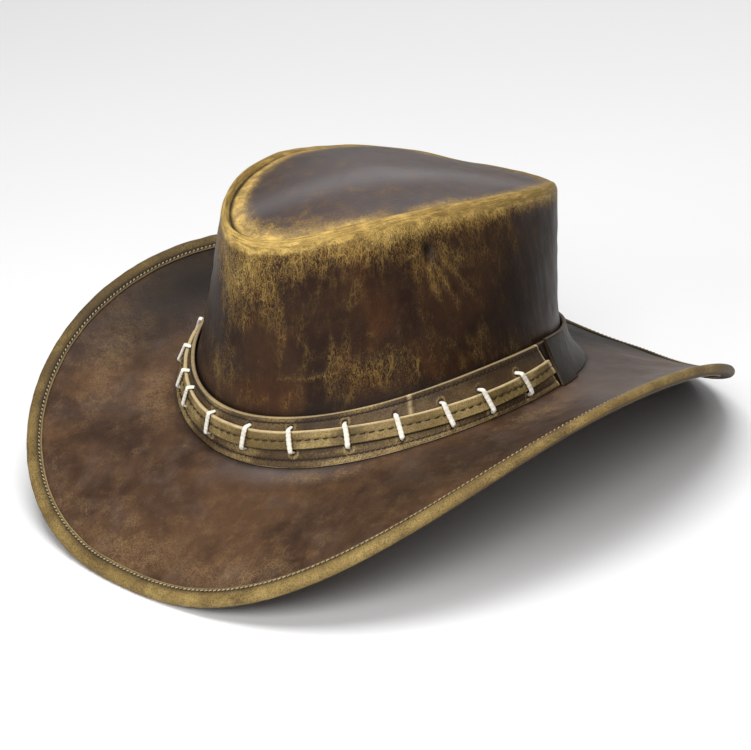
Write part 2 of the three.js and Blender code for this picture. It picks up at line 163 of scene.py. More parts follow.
def wall_point(angle, high):
    """Crown wall, high from 0 at the foot to 1 under the lip:
    foot - outward * (lean*high + flare + dents) + up * climb*high. The flare is
    1 - (1 - high)^8 - high, which spreads the wall just above the brim."""
    angle, high = np.broadcast_arrays(np.asarray(angle, float), np.asarray(high, float))
    lean = (TAPER * share("lean", angle) - LIP_WIDTH) * high
    flare = FOOT_FLARE * share("flare", angle) * (1 - np.abs(1 - high) ** FLARE_SHARPNESS - high)
    inset = lean + flare + DENT_DEPTH * patches(angle, high, WALL_DENTS)
    return raised(
        foot_point(angle) - outward(angle) * inset[..., None],
        (crest_height(angle) - LIP_HEIGHT) * high,
    )


def lip_point(angle, roll):
    """The lip: a quarter round up to the crest while roll goes to 1/2, then half a cosine wave down into the crease."""
    angle, roll = np.broadcast_arrays(np.asarray(angle, float), np.asarray(roll, float))
    rise = np.minimum(roll * 2, 1) * np.pi / 2
    fall = np.maximum(roll * 2 - 1, 0)
    inset = LIP_WIDTH / 2 * (1 - np.cos(rise) + fall)
    height = LIP_HEIGHT * np.sin(rise) - CREASE_DEPTH * share("lip", angle) * (1 - np.cos(np.pi * fall)) / 2
    return raised(wall_point(angle, 1.0) - outward(angle) * inset[..., None], height)


DOME_TOP = np.array([0, -DOME_FORWARD, BRIM_DROP + CROWN_HEIGHT + DOME_RISE])


def dome_point(angle, inwards):
    """The dome, inwards from 0 at the crease to 1 at its top: straight lines seen from above,
    climbing by 1 - (1 - inwards)^1.6 of the height that is left."""
    angle, inwards = np.broadcast_arrays(np.asarray(angle, float), np.asarray(inwards, float))
    crease = lip_point(angle, 1.0)
    point = crease + (DOME_TOP - crease) * inwards[..., None]
    point[..., 2] = crease[..., 2] + (DOME_TOP[2] - crease[..., 2]) * (1 - np.abs(1 - inwards) ** DOME_FULLNESS)
    return point


def edge_height(angle):
    """Middle of the bound edge: it lies level on the table where its rise is small, by rise^2 / (rise + 2)."""
    rise = BRIM_LIFT * share("edge", angle)
    return EDGE_RADIUS - REST_PRESS + rise**2 / (rise + REST_LEVEL)


def brim_point(angle, out):
    """Top of the brim, out from 0 at the crown to 1 at its edge: a straight line to the edge,
    bowed by BRIM_BOW * bow * (out^2 - out)."""
    angle, out = np.broadcast_arrays(np.asarray(angle, float), np.asarray(out, float))
    foot = foot_point(angle)
    climb = edge_height(angle) + BRIM_THICKNESS / 2 - foot[..., 2]
    height = climb * out + BRIM_BOW * share("bow", angle) * (out**2 - out)
    return raised(foot + outward(angle) * (BRIM_WIDTH * share("reach", angle) * out)[..., None], height)


STEP = 1e-3


def face_normal(surface, angle, along):
    """The face's own direction: the cross product of two short steps, round the hat and along the section."""
    round_step = surface(angle + STEP, along) - surface(angle - STEP, along)
    along_step = surface(angle, along + STEP) - surface(angle, along - STEP)
    across = np.cross(round_step, along_step)
    return across / np.linalg.norm(across, axis=-1, keepdims=True)


def off(surface, angle, along, distance):
    """A point at a distance out from a face: surface + normal * distance."""
    angle, along, distance = np.broadcast_arrays(angle, along, distance)
    return surface(angle, along) + face_normal(surface, angle, along) * distance[..., None]


def above_brim(angle, out, distance):
    """A point at a distance above the brim's top face, which looks the other way round."""
    return off(brim_point, angle, out, -np.asarray(distance, float))


def brim_share(angle, distance):
    """The share of the brim's width that a distance from the crown takes up."""
    return distance / (BRIM_WIDTH * share("reach", angle))


def share_from_outline(angle, distance):
    """Where a distance in from the hat's outline lies on the brim, as a share of its width."""
    length = np.linalg.norm(brim_point(angle, 1.0) - brim_point(angle, 1 - STEP), axis=-1) / STEP
    return 1 + (EDGE_RADIUS - distance) / length


print("crown's dome is", round(float(DOME_TOP[2]), 1), "mm high")

# %% [markdown]
# ## From a grid of points to a closed mesh
# Every piece here is a sheet of points: rows along a section and columns round the hat. Blender
# could also skin curves or cloth, but a grid keeps the leather's faces even, so it bends and
# shines smoothly. The helper joins neighbours into four-cornered faces, closes the rows, the
# columns or the poles, turns the faces outwards, and stores painted marks on the points.

# %% Skin a grid


def ring_order(indices, wrap_rows, wrap_columns):
    """Four-cornered faces between neighbours of a grid of point numbers."""
    if wrap_columns:
        indices = np.concatenate([indices, indices[:, :1]], 1)
    if wrap_rows:
        indices = np.concatenate([indices, indices[:1]], 0)
    corners = [indices[:-1, :-1], indices[:-1, 1:], indices[1:, 1:], indices[1:, :-1]]
    return np.stack(corners, -1).reshape(-1, 4)


def is_inside_out(points, faces):
    """Whether the volume that the faces enclose, a sum of (a . b x c) / 6, isn't positive."""
    fan = np.concatenate([faces[:, [0, 1, 2]], faces[:, [0, 2, 3]]]) if faces.shape[1] == 4 else faces
    a, b, c = points[fan[:, 0]], points[fan[:, 1]], points[fan[:, 2]]
    return not np.einsum("ij,ij->", a, np.cross(b, c)) > 0


def new_piece(name, points, faces, marks):
    """A smooth mesh object from points in millimetres, lists of faces and marks for each point."""
    mesh = bpy.data.meshes.new(name)
    mesh.from_pydata((points * MM).tolist(), [], faces)
    for mark_name, values in marks.items():
        kind, key = ("FLOAT", "value") if values.ndim == 1 else ("FLOAT_VECTOR", "vector")
        layer = mesh.attributes.new(mark_name, kind, "POINT")
        layer.data.foreach_set(key, values.astype(np.float32).ravel())
    mesh.shade_smooth()
    mesh.validate()
    piece = bpy.data.objects.new(name, mesh)
    bpy.context.scene.collection.objects.link(piece)
    print(name, "has", len(mesh.polygons), "faces")
    return piece


def leather_mesh(name, points, quads, marks, fans=()):
    """A closed piece from points in millimetres, quads turned to face outwards, and lists of end faces."""
    quads = quads[:, ::-1] if is_inside_out(points - points.mean(0), quads) else quads
    return new_piece(name, points, quads.tolist() + [list(map(int, fan)) for fan in fans], marks)


def smooth_step(value, low, high):
    """0 below low, 1 above high and 3t^2 - 2t^3 between them."""
    t = np.clip((value - low) / (high - low), 0, 1)
    return t * t * (3 - 2 * t)


def ripples(points, wavelength, seed, count=24):
    """Soft seeded unevenness round 0, mostly within 1: a sum of cosine waves that run in random directions."""
    dice = np.random.default_rng(seed)
    way = dice.normal(size=(count, 3))
    way /= np.linalg.norm(way, axis=1, keepdims=True)
    turns = 2 * np.pi / (wavelength * dice.uniform(0.7, 1.4, count))
    phase = dice.uniform(0, 2 * np.pi, count)
    return np.cos(points @ (way * turns[:, None]).T + phase).sum(-1) / np.sqrt(count)


# %% [markdown]
# ## Leather, mixed from nodes
# Waxed pull-up leather is dark where the wax sits and turns golden where it is rubbed or
# stretched. A picture of leather would repeat and blur, so the leather is mixed from noises at
# four sizes instead: clouds as wide as a hand, mottling, fibres, and pores under a millimetre.
# Marks stored on the points say where it is worn or cut, where painted shade darkens it and where
# painted sheen greys it, and the noises break those marks up. The same numbers drive the colour,
# the roughness and the bump.

# %% Node helpers and the leather mixer


def node(tree, kind, inputs=None, **settings):
    """One shader node, with its settings, and its inputs given as sockets or as plain values."""
    made = tree.nodes.new("ShaderNode" + kind)
    for key, value in settings.items():
        setattr(made, key, value)
    for key, value in (inputs or {}).items():
        if isinstance(value, bpy.types.NodeSocket):
            tree.links.new(value, made.inputs[key])
        else:
            made.inputs[key].default_value = value
    return made


def sums(tree, operation, *values):
    """One step of arithmetic."""
    return node(tree, "Math", dict(enumerate(values)), operation=operation).outputs[0]


def ease(tree, value, low, high, start=0.0, end=1.0):
    """A smooth step from low to high, as Map Range does it."""
    keys = {"Value": value, "From Min": low, "From Max": high, "To Min": start, "To Max": end}
    return node(tree, "MapRange", keys, interpolation_type="SMOOTHSTEP").outputs["Result"]


def blend(tree, factor, first, second):
    """Two colours mixed by a factor."""
    return node(tree, "Mix", {0: factor, 6: first, 7: second}, data_type="RGBA").outputs[2]


def noise(tree, place, scale, detail=3.0, rough=0.55, twist=0.0):
    """Cloudy noise from 0 to 1."""
    keys = {"Vector": place, "Scale": scale, "Detail": detail, "Roughness": rough, "Distortion": twist}
    return node(tree, "TexNoise", keys).outputs["Fac"]


def cells(tree, place, scale, feature="F1"):
    """Cell noise: the distance to the nearest seed, or to the nearest border."""
    return node(tree, "TexVoronoi", {"Vector": place, "Scale": scale}, feature=feature).outputs["Distance"]


def mark(tree, name, out="Fac"):
    """A mark stored on the points of the piece."""
    return node(tree, "Attribute", attribute_name=name).outputs[out]


def fade_to_one(tree, factor, value):
    """A number that counts fully where the factor is small and fades to 1 where it is large."""
    fade = ease(tree, factor, 0.55, 1.0)
    return node(tree, "Mix", {0: fade, 2: value, 3: 1.0}, data_type="FLOAT").outputs[0]


def rgb(red, green, blue):
    """A colour with its alpha."""
    return (red, green, blue, 1.0)


def finish_material(name):
    """A fresh material, with its node tree and its shader."""
    material = bpy.data.materials.new(name)
    material.use_nodes = True
    return material, material.node_tree, material.node_tree.nodes["Principled BSDF"]


def in_millimetres(tree):
    """The place of each point on the piece, in mm."""
    where = node(tree, "TexCoord").outputs["Object"]
    return node(tree, "Mapping", {"Vector": where, "Scale": (1000, 1000, 1000)}).outputs[0]


def plug_in(tree, shader, colour, rough, height, strength, distance):
    """The shader's colour and roughness, and a bump as deep as distance (in metres) where height rises by 1."""
    bump = node(tree, "Bump", {"Height": height, "Strength": strength, "Distance": distance})
    for key, socket in {"Base Color": colour, "Roughness": rough, "Normal": bump.outputs[0]}.items():
        tree.links.new(socket, shader.inputs[key])


def leather(
    name,
    wax,
    brown,
    haze,
    gold,
    grain=1.0,
    gloss=0.42,
    fibre_scale=0.55,
    haze_amount=0.5,
    crackle=0.0,
    shine=0.25,
    specks=0.0,
):
    """Pull-up leather. wax, brown and haze are its dark, middle and bloomed colours, and gold is its worn colour.
    crackle is how much the wear breaks up into a web of fine lines instead of rubbed grain, and specks
    is how dark the millimetre-sized flecks of old wax are."""
    material, tree, shader = finish_material(name)
    place = in_millimetres(tree)
    flow = mark(tree, "flow", "Vector")
    worn, dark, cut, flesh, painted_sheen = (mark(tree, key) for key in ("worn", "dark", "cut", "flesh", "painted_sheen"))

    clouds = noise(tree, place, 0.021, 4, 0.6, 0.6)
    mottle = noise(tree, place, 0.13, 5, 0.62, 0.4)
    fibres = noise(tree, flow, fibre_scale, 6, 0.68, 0.25)
    net = noise(tree, flow, fibre_scale * 1.55, 2.5, 0.62, 1.1)
    streaks = noise(tree, flow, fibre_scale * 0.24, 3, 0.6, 0.3)
    pores = cells(tree, place, 0.95)
    cracks = cells(tree, flow, fibre_scale * 1.1, "DISTANCE_TO_EDGE")

    base = blend(tree, ease(tree, clouds, 0.36, 0.66), wax, brown)
    bloom = noise(tree, place, 0.034, 3, 0.5, 0.8)
    base = blend(tree, ease(tree, bloom, 0.45, 0.75, 0, haze_amount), base, haze)
    base = blend(tree, ease(tree, mottle, 0.35, 0.7, 0.25, 0), base, rgb(0.012, 0.006, 0.004))

    # Wear shows first on the high fibres: the mark is lifted by the fibres and eased into a mask.
    raised_grain = sums(tree, "MULTIPLY_ADD", net, 2.6, sums(tree, "MULTIPLY", fibres, 1.2))
    lifted = sums(tree, "MULTIPLY_ADD", worn, 1.5, sums(tree, "MULTIPLY_ADD", streaks, 0.7, raised_grain))
    rubbed = ease(tree, lifted, 2.45, 3.6)
    speck = ease(tree, pores, 0.12, 0.5, 0.4, 1.0)
    rubbed = sums(tree, "MULTIPLY", rubbed, fade_to_one(tree, worn, speck))
    dull = [c * k for c, k in zip(gold, (0.42, 0.36, 0.3, 1))]
    if crackle:
        web = noise(tree, flow, fibre_scale * 1.1, 4, 0.62, 1.8)
        lines = ease(tree, sums(tree, "ABSOLUTE", sums(tree, "SUBTRACT", web, 0.5)), 0.004, 0.052, 1, 0)
        uneven = sums(tree, "MULTIPLY_ADD", streaks, 0.7, sums(tree, "MULTIPLY_ADD", mottle, 0.5, worn))
        plates = ease(tree, cells(tree, flow, 0.43, "DISTANCE_TO_EDGE"), 0.01, 0.1, 0.85, 0)
        lines = sums(tree, "MAXIMUM", lines, sums(tree, "MULTIPLY", plates, ease(tree, streaks, 0.42, 0.62)))
        lines = sums(tree, "MULTIPLY", lines, ease(tree, uneven, 0.55, 1.15, 0, crackle))
        solid = ease(tree, sums(tree, "MULTIPLY_ADD", net, 0.9, uneven), 1.66, 2.3)
        glow = ease(tree, uneven, 0.75, 1.75, 0, 0.36)
        rubbed = sums(tree, "MAXIMUM", solid, sums(tree, "MAXIMUM", lines, glow))
    warm = blend(tree, ease(tree, worn, 0.3, 0.9, 0.12, 1.0), dull, gold)
    warm = blend(tree, ease(tree, streaks, 0.62, 0.35, 0, 0.35), warm, dull)
    warm = blend(tree, ease(tree, clouds, 0.42, 0.62, 0, 0.4), warm, dull)
    # Painted sheen: this mark turns the colour grey, as a reflection of the pale room would.
    base = blend(tree, painted_sheen, base, rgb(0.105, 0.093, 0.094))
    colour = blend(tree, rubbed, base, warm)
    if specks:
        flecks = noise(tree, place, 1.7, 3, 0.6)
        colour = blend(tree, ease(tree, flecks, 0.46, 0.64, 0, specks), colour, rgb(0.03, 0.018, 0.007))

    suede = blend(tree, mottle, rgb(0.07, 0.045, 0.03), rgb(0.13, 0.088, 0.058))
    colour = blend(tree, flesh, colour, suede)
    edge = blend(tree, fibres, rgb(0.32, 0.23, 0.11), rgb(0.62, 0.49, 0.28))
    colour = blend(tree, cut, colour, edge)
    # Painted shade: this mark darkens creases, undersides, the backs of straps and the brim where the crown shades it;
    # on some pieces it also darkens seams and stitch rows.
    colour = blend(tree, dark, colour, rgb(0.006, 0.004, 0.003))

    rough = sums(tree, "MULTIPLY_ADD", rubbed, 0.2, sums(tree, "MULTIPLY_ADD", mottle, 0.16, gloss - 0.08))
    rough = sums(tree, "MAXIMUM", rough, sums(tree, "MULTIPLY", flesh, 0.85))
    rough = sums(tree, "MULTIPLY_ADD", dark, 0.25, rough)
    line = ease(tree, cracks, 0.0, 0.09, 0, 1)
    height = sums(tree, "MULTIPLY_ADD", fibres, 0.5, sums(tree, "MULTIPLY", ease(tree, pores, 0.05, 0.6), 0.32))
    height = sums(tree, "MULTIPLY_ADD", line, 0.18, sums(tree, "MULTIPLY_ADD", mottle, 0.5, height))
    plug_in(tree, shader, colour, rough, height, 0.55, 0.00035 * grain)
    shader.inputs["Specular IOR Level"].default_value = shine
    print("leather mixed:", name)
    return material


# %% [markdown]
# ## The crown
# The crown is one piece of leather pulled wet over a block, with a rolled lip round the crest
# and a pressed crease inside it. Its skin starts under the middle of the dome inside, runs down
# the inside wall, turns round the foot, climbs the outside, rolls over the lip and closes at the
# top of the dome. Small pulls, a thumb dent and a few wrinkles keep it from looking cast.

# %% Relief pressed into the crown's leather
AROUND = 2 * np.pi * np.arange(400) / 400
# Where the thumb dent is: degrees and share of the wall's height, on a wall with this radius and height in mm.
THUMB_AT, THUMB_HIGH, THUMB_RADIUS, THUMB_WALL = 68, 0.855, 76, 96
# Where the pulls above the band are counted from, in the same way.
FOOT_AT, FOOT_RADIUS, FOOT_WALL = 20, 92, 100


def from_thumb(angle, high):
    """Millimetres round the wall and up it from the thumb dent."""
    return np.radians(turn_from(angle, THUMB_AT)) * THUMB_RADIUS, (high - THUMB_HIGH) * THUMB_WALL


def from_foot(angle, high):
    """Millimetres round the wall and up it from where the pulls above the band are counted."""
    return np.radians(turn_from(angle, FOOT_AT)) * FOOT_RADIUS, high * FOOT_WALL


def from_ridge(points):
    """Level distance in mm from the soft ridge that the block left over the dome: a line through (-8, -54)."""
    return (points[..., 0] + 8) * 0.845 - (points[..., 1] + 54) * 0.535


def wrinkles(across, up, table):
    """Soft ridges: height * exp(-(d / width)^2), where d is the distance from a bent line
    that leaves a start point at a lean from straight down, inside a window along the line."""
    total = np.zeros(np.broadcast(across, up).shape)
    for x, z, lean, length, width, bend, height in table:
        turn = math.radians(lean)
        side = (across - x) * math.cos(turn) + (up - z) * math.sin(turn)
        down = (across - x) * math.sin(turn) - (up - z) * math.cos(turn)
        window = smooth_step(down, -2, 3) * (1 - smooth_step(down, length * 0.5, length))
        total += height * window * np.exp(-(((side - bend * down**2) / width) ** 2))
    return total


# Start (mm round the wall and up it from the thumb dent), lean, length, width, bend, height.
THUMB_PULLS = [
    (1.5, -5, 22, 30, 1.5, -0.002, 0.75),
    (3.5, -1, 36, 34, 1.4, -0.003, 0.6),
    (-1.5, -6, 8, 26, 1.3, 0.003, 0.5),
    (-4, 1.5, -62, 12, 1.2, -0.02, 0.55),
    (3, 4, 52, 26, 1.6, -0.004, 0.45),
    (-8, -16, 4, 40, 1.6, 0.001, 0.2),
    (-16, -24, -3, 38, 1.7, 0.002, 0.2),
]
# Start (mm as from_foot counts them), lean, length, width, bend, height.
FOOT_PULLS = [
    (-6, 41, 84, 26, 0.9, 0.002, 0.28),
    (8, 38.5, 98, 20, 0.8, -0.004, 0.24),
    (-12, 37, 20, 14, 0.9, 0.01, 0.2),
    (2, 36, -14, 14, 0.8, -0.01, 0.18),
]


def wall_relief(angle, high):
    """How far the leather stands off the blocked wall, in mm, fading out behind the band."""
    points = wall_point(angle, high)
    free = smooth_step(high, 0.26, 0.4)
    across, up = from_thumb(angle, high)
    thumb = -1.7 * np.exp(-((across / 2.1) ** 2) - ((up / 4.6) ** 2))
    pulls = wrinkles(across, up, THUMB_PULLS)
    low = wrinkles(*from_foot(angle, high), FOOT_PULLS)
    drape = np.stack([np.sin(angle) * 92, -np.cos(angle) * 92, high * 22], -1)
    soft = 0.3 * ripples(points, 38, 3) + 0.1 * ripples(points, 13, 4) + 0.05 * ripples(drape, 4.2, 5)
    return (soft + thumb + pulls + low) * free


def lip_relief(angle, roll):
    """A little unevenness along the rolled lip, and on the dome beside it."""
    return (0.3 * ripples(wall_point(angle, 1.0), 38, 3) + 0.1 * ripples(lip_point(angle, roll), 15, 6)) * 0.9


def dome_relief(angle, inwards):
    """Broad, shallow unevenness of the dome, and its soft ridge: 0.9 * exp(-(distance / 13)^2)."""
    points = dome_point(angle, inwards)
    edge = 0.27 * ripples(wall_point(angle, 1.0), 38, 3) * (1 - smooth_step(inwards, 0, 0.3))
    edge = edge + 0.9 * np.exp(-((from_ridge(points) / 13) ** 2)) * smooth_step(inwards, 0.12, 0.5)
    return edge + (0.32 * ripples(points, 46, 7) + 0.07 * ripples(points, 12, 8)) * smooth_step(inwards, 0, 0.25)


deepest = wall_relief(np.radians(THUMB_AT), np.array(THUMB_HIGH))
print("thumb dent is", round(float(-deepest), 1), "mm deep")

# %% Skin the crown


def crown_rows():
    """The section of the crown as a list of (points, part), from under the dome to its top.
    part is 0 inside, 1 on the wall, 2 on the lip and 3 on the dome."""
    inside = -CROWN_THICKNESS
    rows = []
    for inwards in np.linspace(0.96, 0.04, 24):
        rows.append((off(dome_point, AROUND, inwards, inside + dome_relief(AROUND, inwards)), 0, inwards))
    for high in np.linspace(0.955, 0.05, 36):
        rows.append((off(wall_point, AROUND, high, inside + wall_relief(AROUND, np.full_like(AROUND, high))), 0, high))
    rows.append((above_brim(AROUND, brim_share(AROUND, inside), CLEARANCE), 0, 0.0))
    rows.append((above_brim(AROUND, 0.0, CLEARANCE), 1, 0.0))
    for high in 1 - (1 - np.linspace(0.012, 1, 96)) ** 1.15:
        rows.append((off(wall_point, AROUND, high, wall_relief(AROUND, np.full_like(AROUND, high))), 1, high))
    for roll in np.linspace(0, 1, 22)[1:]:
        rows.append((off(lip_point, AROUND, roll, lip_relief(AROUND, roll)), 2, roll))
    for inwards in np.linspace(0, 1, 60)[1:-1] ** 1.2:
        rows.append((off(dome_point, AROUND, inwards, dome_relief(AROUND, inwards)), 3, inwards))
    return rows


def section_grid(rows):
    """The rows (points, part, place) of a section as a grid, with each point's part, place and angle."""
    part, along = (np.array(column)[:, None] + np.zeros_like(AROUND) for column in list(zip(*rows))[1:])
    return np.stack([points for points, _, _ in rows]), part, along, AROUND + np.zeros_like(part)


crown_grid, part, along, angle = section_grid(crown_rows())

# Where the golden wear shows: (degrees, share of the wall's height, spread, share tall, amount).
WALL_WEAR = [
    (6, 0.97, 42, 0.3, 0.5),
    (-2, 0.78, 20, 0.26, 0.32),
    (16, 0.7, 16, 0.2, 0.16),
    (24, 0.62, 16, 0.12, 0.14),
    (46, 1.0, 34, 0.16, 0.78),
    (58, 0.84, 34, 0.24, 0.22),
    (78, 1.0, 34, 0.12, 0.62),
    (88, 0.84, 30, 0.26, 0.2),
    (120, 1.0, 60, 0.08, 0.6),
    (34, 0.68, 38, 0.36, -0.2),
    (-8, 0.42, 16, 0.16, 0.22),
    (28, 0.5, 18, 0.12, 0.12),
    (38, 0.46, 18, 0.15, 0.2),
    (44, 0.34, 20, 0.13, 0.2),
    (60, 0.4, 24, 0.13, 0.1),
    (82, 0.34, 20, 0.14, 0.14),
    (-45, 0.96, 50, 0.12, 0.75),
    (180, 0.96, 70, 0.1, 0.6),
    (-120, 0.96, 60, 0.12, 0.7),
    (-100, 0.6, 30, 0.16, 0.35),
    (-150, 0.5, 26, 0.14, 0.35),
    (150, 0.62, 20, 0.14, 0.3),
]
DOME_WEAR = [
    (-78, 0.0, 80, 0.27, 1.3),
    (-20, 0.04, 46, 0.17, 1.1),
    (16, 0.06, 36, 0.2, 0.75),
    (42, 0.04, 26, 0.2, 0.9),
    (76, 0.0, 26, 0.17, 0.75),
    (120, 0.0, 50, 0.1, 0.5),
    (180, 0.0, 60, 0.09, 0.5),
    (-120, 0.0, 60, 0.1, 0.6),
    (14, 0.24, 22, 0.16, 0.3),
]
lip_wear = 0.88 + 0.16 * hump(turn_from(angle, 20), 60) - 0.2 * hump(turn_from(angle, 180), 110)
worn = np.select(
    [part == 1, part == 2, part == 3],
    [patches(angle, along, WALL_WEAR), lip_wear, patches(angle, along, DOME_WEAR)],
    0.0,
)
worn = np.clip(np.where(part == 1, np.maximum(worn, lip_wear * smooth_step(along, 0.955, 1.0)), worn), 0, 1)
across, up = from_thumb(angle, along)
creased = wrinkles(across, up, THUMB_PULLS)
creased = creased + 1.6 * wrinkles(*from_foot(angle, along), FOOT_PULLS)
worn = np.where(part == 1, np.clip(worn + 0.5 * creased, 0, 1), worn)
worn = np.where(part == 3, np.maximum(worn, lip_wear * (1 - smooth_step(along, 0.0, 0.035))), worn)

# Painted shade darkens the pressed crease, most at the front and the wearer's right.
in_crease = hump(np.where(part == 2, along - 1, along * 6), 0.22) * (part >= 2)
crease_shade = share("lip", angle) * (1 - 0.75 * hump(turn_from(angle, 40), 55))
dark = np.clip(in_crease * crease_shade, 0, 1) * 0.93
# Painted shade on the wall: in the thumb dent, over its side towards the back on the wearer's left, and low down behind
# the band.
thumb_dent_shade = np.exp(-((across / 1.5) ** 2) - ((up / 3.4) ** 2))
painted_shade = 0.62 * hump(turn_from(angle, 96), 56) * smooth_step(along, 0.2, 0.5) * (1 - smooth_step(along, 0.86, 1.0))
dark = np.where(part == 1, np.maximum(0.8 * thumb_dent_shade + painted_shade, 0.75 * (1 - smooth_step(along, 0.2, 0.31))), dark)

# Painted sheen greys the dome, most along its soft ridge, and the back corner of the wall: grey that stands in for the
# pale room reflected in the waxed leather.
ridge_distance = from_ridge(crown_grid)
ridge = np.exp(-((ridge_distance / 9) ** 2)) + 0.5 * smooth_step(ridge_distance, 10, 40)
painted_sheen = (part == 3) * np.clip(0.36 + 0.24 * smooth_step(along, 0.25, 0.8) + 0.45 * ridge, 0, 1)
painted_sheen = painted_sheen + (part == 1) * 0.12 * hump(turn_from(angle, 112), 18) * smooth_step(along, 0.2, 0.5)

# Fibres run down the wall and in towards the dome's top: the flow squeezes that direction.
round_wall = np.stack([np.sin(angle) * 84, -np.cos(angle) * 84, crown_grid[..., 2] * 0.36], -1)
loose = smooth_step(np.select([part == 1, part == 2, part == 3], [along - 1, along * 0.5, 0.5 + along], 0), -0.03, 0.5)
flow = round_wall * (1 - loose[..., None]) + crown_grid * loose[..., None]

poles = np.stack([DOME_TOP - [0, 0, CROWN_THICKNESS], DOME_TOP])
poles[:, 2] += float(dome_relief(np.array(0.0), np.array(0.999)))


def with_poles(values, first, last):
    """The values of the grid's points, followed by those of the two poles."""
    flat = values.reshape(-1, *values.shape[2:])
    return np.concatenate([flat, np.array([first, last]).reshape(2, *values.shape[2:])])


count = len(AROUND)
numbers = np.arange(crown_grid.shape[0] * count).reshape(-1, count)
crown_quads = ring_order(numbers, False, True)
inner_pole, outer_pole = crown_grid.shape[0] * count, crown_grid.shape[0] * count + 1
crown_points = with_poles(crown_grid, poles[0], poles[1])
flipped = is_inside_out(crown_points - crown_points.mean(0), crown_quads)
ahead = np.roll(numbers[0], -1), np.roll(numbers[-1], -1)
first_fan = np.stack([np.full(count, inner_pole), ahead[0], numbers[0]], 1)
last_fan = np.stack([np.full(count, outer_pole), numbers[-1], ahead[1]], 1)
fans = np.concatenate([first_fan, last_fan])
fans = fans[:, ::-1] if flipped else fans
crown = leather_mesh(
    "moulded_crown",
    crown_points,
    crown_quads,
    {
        "worn": with_poles(worn, 0, 0),
        "dark": with_poles(dark, 0, 0),
        "painted_sheen": with_poles(painted_sheen, 0, 0.6),
        "cut": with_poles(np.zeros_like(worn), 0, 0),
        "flesh": with_poles((part == 0) * 1.0, 1, 0),
        "flow": with_poles(flow, crown_grid[0, 0], DOME_TOP),
    },
    fans,
)

# %% Crown leather
crown_leather = leather(
    "crown_pull_up_leather",
    wax=rgb(0.016, 0.006, 0.0022),
    brown=rgb(0.048, 0.018, 0.0055),
    haze=rgb(0.03, 0.0165, 0.0075),
    gold=rgb(0.61, 0.41, 0.12),
    gloss=0.40,
    crackle=0.8,
    shine=0.13,
)
crown.data.materials.append(crown_leather)
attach(crown, "root")
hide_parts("crown")

# %% [markdown]
# ## The brim
# The brim is a flat ring of leather, turned up inside the crown as a collar where it is sewn,
# and steamed so that its sides curl up and its front and back dip. A grid that runs down the
# collar, out along the top, round the cut edge and back underneath gives both faces and the
# real thickness in one closed skin.

# %% Skin the brim
# Wear and broad waves: (degrees, share of the brim's width, spread, share wide, amount or mm).
BRIM_WEAR = [
    (-55, 0.56, 22, 0.24, 0.42),
    (-40, 0.16, 22, 0.2, 0.4),
    (-78, 0.75, 40, 0.3, 0.35),
    (-24, 0.86, 26, 0.12, 0.22),
    (-2, 0.82, 16, 0.26, 0.34),
    (22, 0.84, 18, 0.22, 0.36),
    (32, 0.1, 26, 0.1, 0.36),
    (88, 0.25, 20, 0.24, 0.42),
    (60, 0.62, 20, 0.3, 0.16),
    (110, 0.7, 24, 0.3, 0.16),
    (150, 0.6, 30, 0.4, 0.22),
    (-130, 0.5, 40, 0.4, 0.3),
    (180, 0.55, 24, 0.3, 0.26),
]
BRIM_PULLS = [
    (-34, 0.6, 30, 0.5, 0.9),
    (12, 0.5, 24, 0.5, -0.7),
    (58, 0.55, 26, 0.5, 0.6),
    (-80, 0.5, 34, 0.5, 0.8),
    (128, 0.5, 34, 0.5, -0.7),
]


def brim_relief(angle, out):
    """Soft hand-wide waves and small ripples of the brim, fading out at the crown and under the binding."""
    points = brim_point(angle, out)
    free = smooth_step(out, 0.12, 0.3) * (1 - smooth_step(out, 0.78, 0.9))
    broad = patches(angle, out, BRIM_PULLS)
    return free * (broad * 0.8 + 0.22 * ripples(points, 30, 11) + 0.06 * ripples(points, 9, 12))


def wall_share_at(angle, length):
    """The share of the wall's height that lies a length up its face, found by walking up it in small steps."""
    shares = np.linspace(0, 0.45, 46)
    walk = wall_point(angle[:, None], shares[None])
    steps = np.linalg.norm(np.diff(walk, axis=1), axis=-1)
    climbed = np.concatenate([np.zeros((len(angle), 1)), np.cumsum(steps, 1)], 1)
    passed = np.clip((climbed < length).sum(1), 1, len(shares) - 1)
    line = np.arange(len(angle))
    before, after = climbed[line, passed - 1], climbed[line, passed]
    return shares[passed - 1] + (length - before) / (after - before) * (shares[1] - shares[0])


collar_outside = CROWN_THICKNESS + CLEARANCE
collar_inside = collar_outside + COLLAR_THICKNESS
collar_top = wall_share_at(AROUND, COLLAR_HEIGHT)
collar_foot = wall_share_at(AROUND, COLLAR_THICKNESS + CLEARANCE)
outs = np.linspace(0.015, 1, 74)[:-1]
brim_cut = share_from_outline(AROUND, BINDING_THICKNESS + CLEARANCE)
rows = [
    (off(wall_point, AROUND, collar_top, -collar_inside), 0, 0),
    (off(wall_point, AROUND, collar_top, -(collar_inside + collar_outside) / 2) + [0, 0, 0.3], 0, 0),
    (off(wall_point, AROUND, collar_top, -collar_outside), 0, 0),
    (off(wall_point, AROUND, (collar_top + collar_foot) / 2, -collar_outside), 0, 0),
    (off(wall_point, AROUND, collar_foot, -collar_outside), 0, 0),
    (brim_point(AROUND, brim_share(AROUND, -collar_outside)), 0, 0),
]
for out in outs:
    rows.append((above_brim(AROUND, out * brim_cut, brim_relief(AROUND, out * brim_cut)), 1, out))
rows.append((brim_point(AROUND, brim_cut), 1, 1.0))
rows.append((above_brim(AROUND, brim_cut, -BRIM_THICKNESS), 2, 1.0))
for out in outs[::-2]:
    rows.append((above_brim(AROUND, out * brim_cut, brim_relief(AROUND, out * brim_cut) - BRIM_THICKNESS), 2, out))
